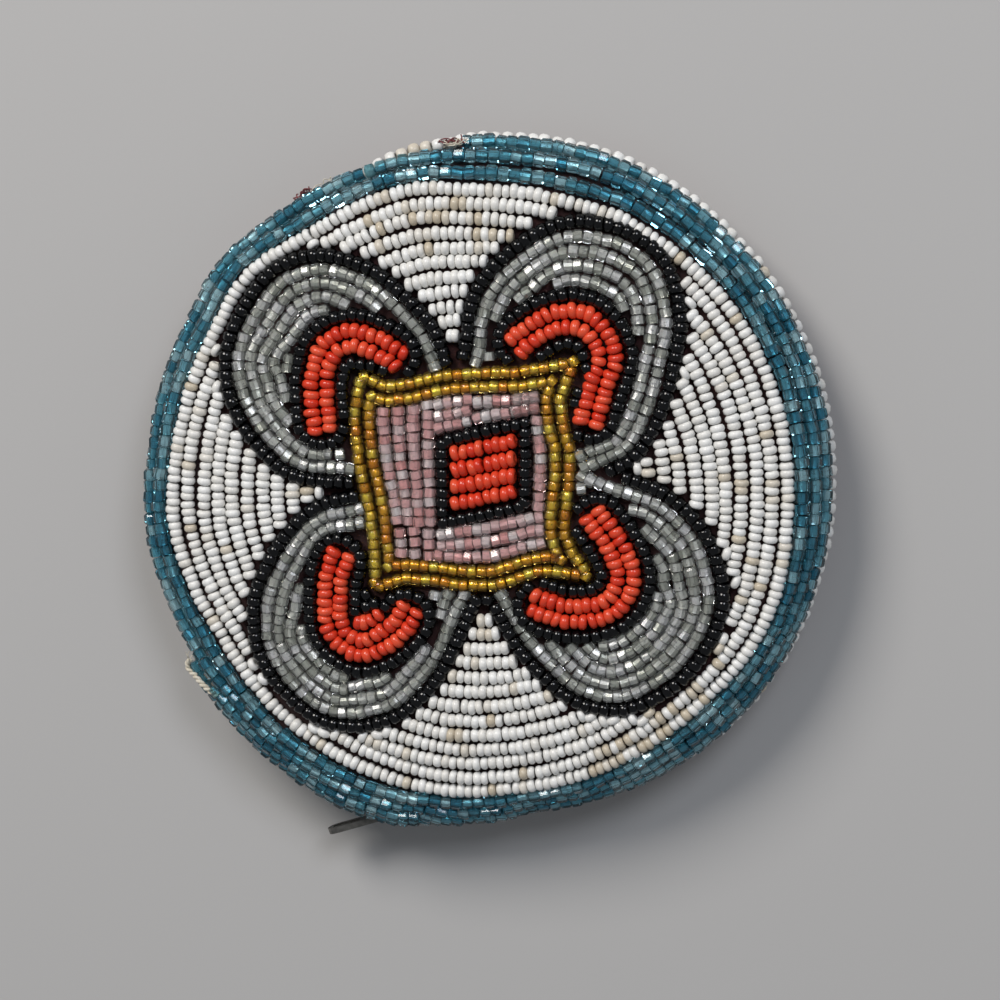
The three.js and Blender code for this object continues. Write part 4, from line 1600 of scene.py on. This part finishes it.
    def plugs(self, kinds: Sequence[Bead]) -> list[list[Strand]]:
        """Gives each bare spot that is left one bead of its ground.

        Args:
            kinds: White, pink, silver and black bead.

        Returns:
            Strands of one bead each, for each kind.
        """
        owners = [(row, head) for row in self.taken for head in np.gradient(row.line, axis=0)]
        tree = KDTree(len(owners))
        for number, spot in enumerate(np.vstack([row.line for row in self.taken])):
            tree.insert((*spot, 0), number)
        tree.balance()
        reach = self.radius + self.plug_margin
        ticks = np.arange(-reach, reach, self.plug_grid)
        grid = np.stack(np.meshgrid(ticks, ticks), axis=2).reshape(-1, 2)
        grid = grid[from_middle(grid) < self.radius + self.dome.swell(grid) - self.plug_margin]
        bare = []
        for spot, zone in zip(grid, self.zones(grid)):
            _, number, distance = tree.find((*spot, 0))
            row, head = owners[number]
            room = distance - row.half
            if zone != Ground.GOLD and room > self.plug_squeeze * kinds[zone].berth / 2:
                bare.append((room, tuple(spot), zone, head))
        strands: list[list[Strand]] = [[] for _ in kinds]
        filled: list[Points] = []
        for _, spot, zone, head in sorted(bare, key=lambda found: -found[0]):
            at, bead = np.array(spot), kinds[zone]
            least = self.plug_spacing * bead.berth
            if all(np.linalg.norm(at - place) > least for place in filled):
                filled.append(at)
                nudge = self.plug_half * head / np.linalg.norm(head)
                line = np.stack([at - nudge, at + nudge])
                strands[zone].append(self.on_dome(line, bead, False, self.age(line)))
        return strands


@dataclass
class Beadwork:
    """All beads of the front: the flower, its ground, the border and the edging.

    Spans are angles in degrees. The edging climbs to the outer row's place over a span that starts a
    little before that row ends, and slips inwards at its own end.
    """

    dome: Dome
    tree: BeadTree
    seed: int = 7
    seed_step: int = 100
    outer_row: tuple[float, float] = (213.0, 453.0)
    extra_row: tuple[float, float] = (212.0, 266.0)
    extra_blend: float = 8.0
    extra_least: float = 0.7
    border_steps: int = 720
    border_probes: int = 40
    edging: tuple[float, float] = (295.0, 470.0)
    edging_steps: int = 500
    edging_gap: float = 0.3
    edging_tuck: float = 0.25
    edging_slip: tuple[float, float] = (12.0, 1.2)
    edging_climb: tuple[float, float] = (2.0, 6.0)

    def __post_init__(self) -> None:
        """Makes the kinds of bead."""
        size = self.dome.bead
        self.flower = Flower(self.dome)
        glass = {"cut": Cut.ROUND, "finish": WHITE_GLASS, "length": 1.32, "pitch": 1.17}
        self.white = Bead("white", size, **glass, sides=9, spread=0.08, wobble=0.09)
        glass = {"cut": Cut.ROUND, "finish": CORAL_GLASS, "length": 1.46, "pitch": 1.27}
        self.coral = Bead("coral", 1.14 * size, **glass, spread=0.09, wobble=0.12, tilt=0.2)
        glass = {"cut": Cut.ROUND, "finish": WHITE_GLASS, "length": 1.84, "pitch": 1.8}
        self.edge = Bead("edge", 0.95 * size, **glass, wobble=0.1, tilt=0.2)
        self.blue = self._cut("blue", 1.07, 1.66, BLUE_GLASS, BLUE_LINING, spread=0.12, tilt=0.12)
        self.black = self._cut(
            "black", 1.04, 1.4, BLACK_GLASS, None, sides=8, tilt=0.26, crease=55.0
        )
        wide_bore = {"tilt": 0.18, "hole": 1.1, "spread": 0.09}
        self.silver = self._cut("silver", 0.96, 1.4, SILVER_GLASS, SILVER_LINING, **wide_bore)
        self.pink = self._cut("pink", 0.97, 1.36, PINK_GLASS, PINK_LINING, **wide_bore)
        soft_edge = {"tilt": 0.16, "hole": 0.95, "crease": 55.0, "lined": 0.7}
        self.gold = self._cut("gold", 0.95, 1.4, GOLD_GLASS, GOLD_LINING, **soft_edge)

    def _cut(
        self,
        name: str,
        width: float,
        length: float,
        glass: GlassFinish,
        lining: GlassFinish | None,
        sides: int = 7,
        **shape: float,
    ) -> Bead:
        """Makes a kind of bead that is cut from glass tube.

        Args:
            name: Name of the kind.
            width: Its diameter in white beads.
            length: Its length in millimetres.
            glass: Finish of the glass.
            lining: Finish of the bore, or None for opaque glass.
            sides: Number of facets round it.
            **shape: Other numbers of the bead.

        Returns:
            The kind, strung with its beads just touching.
        """
        size = (width * self.dome.bead, length, length)
        return Bead(name, *size, Cut.FACETED, glass, sides=sides, lining=lining, **shape)

    def border(self) -> list[Strand]:
        """Draws the blue rows between the ground and the seam.

        Returns:
            Two full rings that follow the ground's edge, a short third one where the rim stands far
            out, and the stretch of the outer row.
        """
        dome, lift = self.dome, self.blue.diameter / 2
        turns = np.linspace(0, 2 * np.pi, self.border_steps, endpoint=False)
        around = on_circle(turns)
        across, _, lengths = dome.meridian()
        outer = dome.outer_arc()
        arcs = np.linspace(dome.ground_arc() - dome.border_pitch, outer, self.border_probes)
        laid = np.array([dome.lay(dome.radius_at(arc) * around, lift)[0] for arc in arcs])
        steps = np.linalg.norm(np.diff(laid, axis=0), axis=2)
        depth = np.vstack([np.zeros(len(turns)), np.cumsum(steps, axis=0)])
        edge = np.interp(self.flower.radius + dome.swell(around), across, lengths)
        start = np.array([np.interp(edge[i], arcs, depth[:, i]) for i in range(len(turns))])
        angles = np.degrees(turns)
        ends = np.stack([angles - self.extra_row[0], self.extra_row[1] - angles])
        extra = np.clip(ends.min(axis=0) / self.extra_blend, 0, 1)
        share = (depth[-1] - start) / (dome.border_rows - 0.5 + extra)
        strands = []
        for row in range(dome.border_rows):
            lane = start + (row + 0.5) * share
            place = np.array([np.interp(lane[i], depth[:, i], arcs) for i in range(len(turns))])
            flat = np.interp(place, lengths, across)[:, None] * around
            full = row < dome.border_rows - 1
            for part in [flat] if full else stretches(flat, extra > self.extra_least, True):
                strands.append(self.flower.on_dome(part, self.blue, full))
        turns = np.radians(np.linspace(*self.outer_row, self.border_steps))
        circle = dome.radius_at(outer) * on_circle(turns)
        return [*strands, self.flower.on_dome(circle, self.blue)]

    def rim(self) -> list[Strand]:
        """Draws the edging beads on the seam, which climb to the outer row's place past its end.

        Returns:
            One strand.
        """
        dome, (slip, slip_depth), (early, climb) = self.dome, self.edging_slip, self.edging_climb
        angles = np.linspace(*self.edging, self.edging_steps)
        flat = on_circle(np.radians(angles))
        out = np.column_stack([flat, np.zeros(len(flat))])
        reach = dome.radius + self.edging_gap + self.edge.diameter / 2 - self.edging_tuck
        low = dome.shaped(reach * out + np.array([0, 0, dome.seam]))
        end = np.clip((angles - self.edging[1] + slip) / slip, 0, 1)
        radius = dome.radius_at(dome.outer_arc()) - slip_depth * end**2
        high, lie = dome.lay(radius[:, None] * flat, self.edge.diameter / 2)
        share = ease(np.clip((angles - self.outer_row[1] + early) / climb, 0, 1)[:, None])
        return [Strand(low + (high - low) * share, out + (lie - out) * share)]

    def build(self) -> None:
        """Strings every kind of bead and puts it in place of its CAD rows."""
        flower = self.flower
        rng = np.random.default_rng(self.seed)
        coral = flower.centre_strands(self.coral)
        black = flower.centre_outline(self.black)
        gold = flower.frame_rows(self.gold)
        pink = flower.field(self.pink)
        coral += flower.crescent_rows(self.coral)
        black += flower.crescent_outlines(self.black) + flower.petal_outlines(self.black)
        silver = flower.fills(self.silver)
        white = flower.ground(self.white, rng)
        black += flower.hollows(self.black)
        kinds = (self.white, self.pink, self.silver, self.black)
        for rows, spots in zip((white, pink, silver, black), flower.plugs(kinds)):
            rows += spots
        kinds = ("petal", "crescent")
        outlines = [f"{kind}_outline_{name}" for kind in kinds for name in PETAL_NAMES]
        crescents = [f"crescent_{name}" for name in PETAL_NAMES]
        fills = [f"petal_fill_{name}" for name in PETAL_NAMES]
        borders = [f"border_row_{number + 1}" for number in range(self.dome.border_rows)]
        plan = (
            ("white_beads", self.white, white, "white_beads", ("white_ground",)),
            ("blue_beads", self.blue, self.border(), "blue_beads", borders),
            ("black_beads", self.black, black, "black_beads", ["centre_outline", *outlines]),
            ("silver_beads", self.silver, silver, "silver_beads", fills),
            ("coral_beads", self.coral, coral, "coral_beads", ["centre_rows", *crescents]),
            ("gold_beads", self.gold, gold, "gold_beads", ("gold_frame",)),
            ("pink_beads", self.pink, pink, "pink_beads", ("pink_field",)),
            ("edging_beads", self.edge, self.rim(), "white_beads", ("rim_edging",)),
        )
        for number, (name, bead, strands, slot, nodes) in enumerate(plan):
            piece = self.tree.string(name, bead, strands, self.seed + self.seed_step * number)
            finish_piece(piece, nodes)


@dataclass
class FeltPanels:
    """The two felt panels, sewn at the rim and open along the mouth, in millimetres and degrees.

    The lumps have their height, how close they lie along X and Y, and where they start along Y.
    """

    dome: Dome
    cloth: float = 1.6
    rest_radius: float = 30.0
    rest_rings: int = 8
    rest_spread: tuple[float, float] = (0.05, 0.95)
    back_fullness: float = 2.5
    mouth: tuple[float, float] = (110.0, 279.0)
    mouth_half: float = 1.7
    mouth_end: float = 2.5
    edge_half: float = 0.15
    around: int = 144
    along: int = 26
    crowding: float = 0.8
    middle_radius: float = 0.6
    lumps: tuple[float, float, float, float] = (0.1, 0.9, 0.8, 1.3)
    lump_floor: float = 0.4
    overcast_height: float = 1.3
    running_height: float = 3.4
    stitch: float = 0.5
    stitch_gap: float = 3.0
    stitch_steps: int = 400
    seed: int = 3

    def _edge(self, turns: np.ndarray) -> np.ndarray:
        """Gives the height of the panel's edge off the seam plane, all round."""
        angle = np.degrees(turns) % 360
        into = np.minimum(angle - self.mouth[0], self.mouth[1] - angle)
        share = np.clip(into / self.mouth_end + 0.5, 0, 1)
        return self.edge_half + (self.mouth_half - self.edge_half) * share

    def _face(self, turns: np.ndarray, side: Side, inset: float) -> Points:
        """Builds one face of a panel.

        Args:
            turns: Angles round the purse.
            side: Which panel.
            inset: How far the face lies inside the panel's outer face.

        Returns:
            Points in rings from the middle to the edge, as an array of ring, angle and place.
        """
        front = side is Side.FRONT
        rise = (self.dome.rise if front else self.dome.seam) - inset
        power = self.dome.fullness if front else self.back_fullness
        flat = 0.0 if front else self.rest_radius
        reach = self.dome.radius - inset - flat
        last = np.arcsin((self._edge(turns) / rise) ** (power / 2))
        share = np.linspace(0, 1, self.along)[:, None] ** self.crowding
        turn = np.pi / 2 + (last - np.pi / 2) * share
        radius = flat + reach * np.clip(np.cos(turn), 0, 1) ** (2 / power)
        height = rise * np.sin(turn) ** (2 / power)
        radius[0], height[0] = max(flat, self.middle_radius), rise
        if not front:
            disc = np.linspace(*self.rest_spread, self.rest_rings)[:, None] * flat
            disc = disc * np.ones_like(turns)
            radius = np.vstack([disc, radius])
            height = np.vstack([np.full_like(disc, rise), height])
        z = self.dome.seam + side.value * height
        return np.stack([radius * np.cos(turns), radius * np.sin(turns), z], axis=2)

    def panel(self, side: Side) -> bpy.types.Object:
        """Builds a panel with its thickness.

        Args:
            side: Which panel.

        Returns:
            A closed mesh object.
        """
        turns = np.linspace(0, 2 * np.pi, self.around, endpoint=False)
        outer, inner = self._face(turns, side, 0.0), self._face(turns, side, self.cloth)
        rings = np.concatenate([outer, inner[::-1]])
        count, size = len(rings), self.around
        points = rings.reshape(-1, 3)
        high, close_x, close_y, start = self.lumps
        wave = np.sin(points[:, 0] * close_x) * np.sin(points[:, 1] * close_y + start)
        points = self.dome.shaped(points)
        lumpy = (points[:, 2] > self.lump_floor) & (side is Side.BACK)
        points[:, 2] += np.where(lumpy, high * wave, 0)
        middle = [(0, 0, ring[:, 2].mean()) for ring in (rings[0], rings[-1])]
        points = np.vstack([points, middle])
        faces = grid_faces(count, size)
        for j in range(size):
            k = (j + 1) % size
            faces.append((count * size, j, k))
            faces.append((count * size + 1, (count - 1) * size + k, (count - 1) * size + j))
        if side is Side.BACK:
            faces = [face[::-1] for face in faces]
        made = mesh_object(f"felt_{side.name.lower()}", points, faces)
        made.data.shade_smooth()
        return made

    def seam_line(self, height: float, span: tuple[float, float]) -> Strand:
        """Draws a line of stitches on the back panel, level with the seam.

        Args:
            height: How far the line lies below the seam.
            span: Angles at which it starts and ends.

        Returns:
            The line, half sunk in the felt.
        """
        flat = on_circle(np.radians(np.linspace(*span, self.stitch_steps)))
        out = np.column_stack([flat, np.zeros(len(flat))])
        down, power = height / self.dome.seam, self.back_fullness
        share = (1 - down**power) ** (1 / power)
        reach = self.dome.radius - self.rest_radius
        slope = unit(
            np.array([share ** (power - 1) / reach, down ** (power - 1) / self.dome.seam])
        )
        lie = slope[0] * out - slope[1] * np.array([0, 0, 1.0])
        level = np.array([0, 0, self.dome.seam - height])
        line = (self.rest_radius + reach * share) * out + level
        return Strand(self.dome.shaped(line), lie)

    def sew(self, tree: BeadTree) -> None:
        """Sews the closed part of the rim with overcast stitches, and the zip with running ones.

        Args:
            tree: Node tree that sets one stitch after the other.
        """
        (first, last), past = self.mouth, self.stitch_gap
        closed = self.seam_line(self.overcast_height, (last + past, first + 360 - past))
        zipped = self.seam_line(self.running_height, (first + past, last - past))
        for name, line, length, pitch, across in (
            ("overcast_stitches", closed, 2.1, 2.4, True),
            ("running_stitches", zipped, 2.3, 3.5, False),
        ):
            size, shape = (self.stitch, length, pitch), {"hole": 0.04, "sides": 6, "arc": 5}
            kind = Bead(name, *size, Cut.ROUND, RED_THREAD, across=across, **shape)
            finish_piece(tree.string(name, kind, [line], self.seed))

    def build(self) -> None:
        """Builds both panels and dresses them in felt."""
        arc = float(self.dome.meridian()[2][-1])
        # The front panel's felt is darkened as painted shade between the beads.
        sides = ((Side.FRONT, "front_panel", SHADED_FELT), (Side.BACK, "back_panel", RED_FELT))
        for side, node, felt in sides:
            made = self.panel(side)
            made.data.materials.append(felt.material())
            finish_piece(made, (node,))


def tube(path: Points, radius: float, sides: int = 6) -> tuple[Points, list[tuple[int, ...]]]:
    """Builds a thin round tube with closed ends.

    Args:
        path: Points of its middle line.
        radius: Radius of the tube.
        sides: Number of faces round it.

    Returns:
        Vertices, and the vertex numbers of each face.
    """
    along = unit(np.gradient(path, axis=0))
    side = unit(np.cross(along, ASIDE))
    turns = np.arange(sides) * 2 * np.pi / sides
    right, up = side[:, None], np.cross(side, along)[:, None]
    across = np.cos(turns)[:, None] * right + np.sin(turns)[:, None] * up
    points = (path[:, None] + radius * across).reshape(-1, 3)
    last = (len(path) - 1) * sides
    start, end = tuple(range(sides)), tuple(last + j for j in reversed(range(sides)))
    return points, [start, *grid_faces(len(path), sides), end]


@dataclass(frozen=True)
class Fray:
    """A frayed spot at the rim: where it lies, how many fibres it has, and whether they are red."""

    radius: float
    start: float
    end: float
    height: float
    fibres: int
    red: bool


@dataclass
class ThreadEnds:
    """Loose ends at the rim: a twisted tail and two frayed spots, in millimetres.

    Each place is a radius, an angle in degrees and a height. A fibre's bends are how far its points
    stray outwards and upwards. A wisp's steps lead along its drift, and stray by wisp_stray.
    """

    tail: tuple[Place, ...] = (
        (50.6, 219.4, 11.6), (51.7, 218.2, 12.5), (52.4, 215.8, 12.3), (52.8, 214.0, 11.6),
        (53.2, 212.7, 11.2), (52.9, 211.8, 11.3), (52.1, 211.4, 11.8),
    )
    tail_step: float = 0.15
    ply_radius: float = 0.25
    ply_swing: float = 0.9
    twist_mm: float = 1.7
    fibre_radius: float = 0.05
    fibre_points: int = 4
    fibre_step: float = 0.2
    fibre_ends: float = 0.15
    fibre_bends: tuple[float, float] = (0.35, 0.4)
    red_width: float = 2.0
    pale_width: float = 1.6
    wisps: int = 4
    wisp_drift: Place = (0.05, 0.28, 0.05)
    wisp_stray: float = 0.22
    frays: tuple[Fray, ...] = (
        Fray(50.1, 97.2, 93.0, 11.3, fibres=9, red=True),
        Fray(49.9, 96.4, 92.6, 11.8, fibres=7, red=False),
        Fray(49.9, 124.0, 120.6, 10.3, fibres=8, red=True),
        Fray(49.6, 120.8, 117.0, 10.8, fibres=5, red=False),
    )
    seed: int = 19

    @staticmethod
    def _placed(places: Sequence[Place]) -> Points:
        """Turns radius, angle and height to points in space."""
        radius, angle, height = np.array(places).T
        turns = np.radians(angle)
        return np.stack([radius * np.cos(turns), radius * np.sin(turns), height], axis=1)

    def twisted(self) -> list[Points]:
        """Winds the two plies of the tail about its line.

        Returns:
            The middle line of each ply.
        """
        path = smooth(self._placed(self.tail), self.tail_step)
        along = unit(np.gradient(path, axis=0))
        side = unit(np.cross(along, [0, 0, 1.0]))
        up = np.cross(side, along)
        turns = np.arange(len(path)) * self.tail_step / self.twist_mm * 2 * np.pi
        plies = []
        for start in (0, np.pi):
            swing = np.cos(turns + start)[:, None] * side + np.sin(turns + start)[:, None] * up
            plies.append(path + self.ply_swing * self.ply_radius * swing)
        return plies

    def frayed(self, rng: np.random.Generator, spot: Fray) -> list[Points]:
        """Draws the fibres of one frayed spot.

        Args:
            rng: Source of the fibres' bends.
            spot: The spot.

        Returns:
            The middle line of each fibre.
        """
        fibres = []
        for _ in range(spot.fibres):
            ends = np.sort(rng.uniform(0, 1, 2)) + (-self.fibre_ends, self.fibre_ends)
            shares = np.linspace(*ends, self.fibre_points)
            bends = rng.normal(0, 1, (self.fibre_points, 2)) * self.fibre_bends
            places = [
                (spot.radius + out, spot.start + share * (spot.end - spot.start), spot.height + up)
                for share, (out, up) in zip(shares, bends)
            ]
            fibres.append(smooth(self._placed(places), self.fibre_step))
        return fibres

    def _wisp(self, rng: np.random.Generator, tip: Points) -> Points:
        """Draws one fibre that stands off the tip of the tail."""
        steps = rng.normal(self.wisp_drift, self.wisp_stray, (self.fibre_points, 3))
        return smooth(tip + np.cumsum(steps, axis=0), self.fibre_step)

    def build(self) -> None:
        """Builds the tail and the frayed spots, each on the purse."""
        rng = np.random.default_rng(self.seed)
        plies = self.twisted()
        wisps = [self._wisp(rng, plies[0][-1]) for _ in range(self.wisps)]
        parts = {
            "thread_tail": (PALE_THREAD, self.ply_radius, plies),
            "thread_wisps": (PALE_THREAD, self.fibre_radius, wisps),
        }
        for red, name, finish, width in (
            (True, "red_fibres", RED_THREAD, self.red_width),
            (False, "pale_fibres", PALE_THREAD, self.pale_width),
        ):
            spots = [spot for spot in self.frays if spot.red is red]
            lines = [line for spot in spots for line in self.frayed(rng, spot)]
            parts[name] = (finish, width * self.fibre_radius, lines)
        for name, (finish, radius, lines) in parts.items():
            points, faces, first = [], [], 0
            for line in lines:
                own, sides = tube(line, radius)
                points.append(own)
                faces += [tuple(first + corner for corner in face) for face in sides]
                first += len(own)
            made = mesh_object(name, np.vstack(points), faces)
            made.data.shade_smooth()
            made.data.materials.append(finish.material())
            finish_piece(made)


@dataclass
class Zip:
    """The zip's CAD pieces with their finishes, and the end of its tape, in millimetres."""

    metal_nodes: tuple[str, ...] = (
        "zip_chain_front",
        "zip_chain_back",
        "zip_bottom_stop",
        "zip_top_stop_front",
        "zip_top_stop_back",
        "zip_slider",
        "zip_pull",
    )
    tape_nodes: tuple[str, ...] = ("zip_tape_front", "zip_tape_back")
    end_span: tuple[float, float] = (108.5, 131.0)
    end_reach: tuple[float, float] = (43.0, 43.4)
    end_height: tuple[float, float] = (4.6, 10.4)
    end_steps: int = 14

    def close_end(self) -> None:
        """Closes the mouth past the bottom stop with the tape's end, sewn in behind the lips."""
        reach = self.end_reach + self.end_reach[::-1]
        section = list(zip(reach, np.repeat(self.end_height, 2)))
        turns = np.radians(np.linspace(*self.end_span, self.end_steps))
        points = [(r * math.cos(t), r * math.sin(t), z) for t in turns for r, z in section]
        size, last = len(section), len(points) - 1
        ends = [tuple(range(size)), tuple(last - i for i in range(size))]
        faces = ends + grid_faces(self.end_steps, size)
        made = mesh_object("zip_tape_end", np.array(points), faces)
        made.data.materials.append(RED_TAPE.material())
        finish_piece(made)

    def dress(self) -> None:
        """Gives the CAD pieces metal and woven tape."""
        for names, finish in ((self.metal_nodes, ZIP_METAL), (self.tape_nodes, RED_TAPE)):
            material = finish.material()
            for name in names:
                node = frame["nodes"][name]
                node.data.materials.clear()
                node.data.materials.append(material)
                LOG.info("%s: %s", name, finish.name)


@dataclass
class Studio:
    """Camera, light and floor, in millimetres; the camera's scale is millimetres in a pixel."""

    dome: Dome
    distance: float = 420.0
    tilt: float = 13.0
    turn: float = 45.0
    scale: float = 0.1445
    middle_px: tuple[float, float] = (481.0, 490.0)
    frame_px: float = 1000.0
    sensor: float = 36.0
    focus_lift: float = 1.0
    floor_half: float = 3000.0
    ambient: float = 0.26

    def camera(self) -> None:
        """Sets the camera at the photograph's angle and distance."""
        tilt, turn = math.radians(self.tilt), math.radians(self.turn)
        across = Vector((math.cos(turn), math.sin(turn), 0))
        back = math.sin(tilt) * across + math.cos(tilt) * Vector((0, 0, 1))
        right = Vector((0, 1, 0)).cross(back).normalized()
        up = back.cross(right)
        edge = np.array([[self.dome.radius_at(self.dome.ground_arc()), 0.0]])
        top = float(self.dome.lay(edge, self.focus_lift)[0][0, 2])
        half = self.frame_px / 2
        place = Vector((0, 0, top)) + self.distance * back
        place -= right * (self.middle_px[0] - half) * self.scale
        place -= up * (half - self.middle_px[1]) * self.scale
        data = bpy.data.cameras.new("camera")
        data.sensor_width = self.sensor
        data.lens = self.sensor * self.distance / self.scale / self.frame_px
        data.clip_start, data.clip_end = 0.01, 20
        made = bpy.data.objects.new("camera", data)
        bpy.context.scene.collection.objects.link(made)
        turned = Matrix((right, up, back)).transposed().to_4x4()
        made.matrix_world = Matrix.Translation(place * MM) @ turned
        bpy.context.scene.camera = made

    def lamp(self, name: str, place: Place, size: float, power: float, code: str) -> None:
        """Hangs a soft lamp that faces the purse.

        Args:
            name: Name of the lamp.
            place: Where it hangs, in metres.
            size: Width of its face, in metres.
            power: Its power in watts.
            code: Its sRGB hex colour.
        """
        data = bpy.data.lights.new(name, "AREA")
        data.shape, data.size, data.energy, data.color = "DISK", size, power, linear(code)[:3]
        made = bpy.data.objects.new(name, data)
        made.location = place
        made.rotation_euler = (-Vector(place)).to_track_quat("-Z", "Y").to_euler()
        bpy.context.scene.collection.objects.link(made)

    def floor(self) -> None:
        """Lays a plain pale floor."""
        half = self.floor_half
        corners = np.array([(-half, -half, 0), (half, -half, 0), (half, half, 0), (-half, half, 0)])
        made = mesh_object("floor", corners, [(0, 1, 2, 3)])
        material, tree, shader = blank_material("pale_floor")
        feed(tree, shader, {"Base Color": linear("#bdbcbb"), "Roughness": 0.9})
        made.data.materials.append(material)

    def light(self) -> None:
        """Lights the purse softly from the upper left of the picture."""
        world = bpy.data.worlds.new("studio")
        world.use_nodes = True
        sky = world.node_tree.nodes["Background"]
        feed(world.node_tree, sky, {"Color": linear("#dfe4ea"), "Strength": self.ambient})
        bpy.context.scene.world = world
        self.lamp("key", (-0.4, 0.7, 0.75), size=0.5, power=8.0, code="#fffaf4")
        self.lamp("window", (0.4, 0.6, 0.9), size=0.4, power=3.5, code="#f2f6ff")

    def build(self) -> None:
        """Sets up everything round the purse."""
        self.camera()
        self.light()
        self.floor()
        bpy.context.scene.view_settings.view_transform = "Standard"


def main() -> None:
    """Builds the purse in order and its surroundings."""
    logging.basicConfig(level=logging.INFO, format="%(name)s %(message)s")
    dome, tree = Dome(), BeadTree()
    panels = FeltPanels(dome)
    panels.build()
    panels.sew(tree)
    Beadwork(dome, tree).build()
    ThreadEnds().build()
    closure = Zip()
    closure.close_end()
    closure.dress()
    Studio(dome).build()


if __name__ == "__main__":
    main()
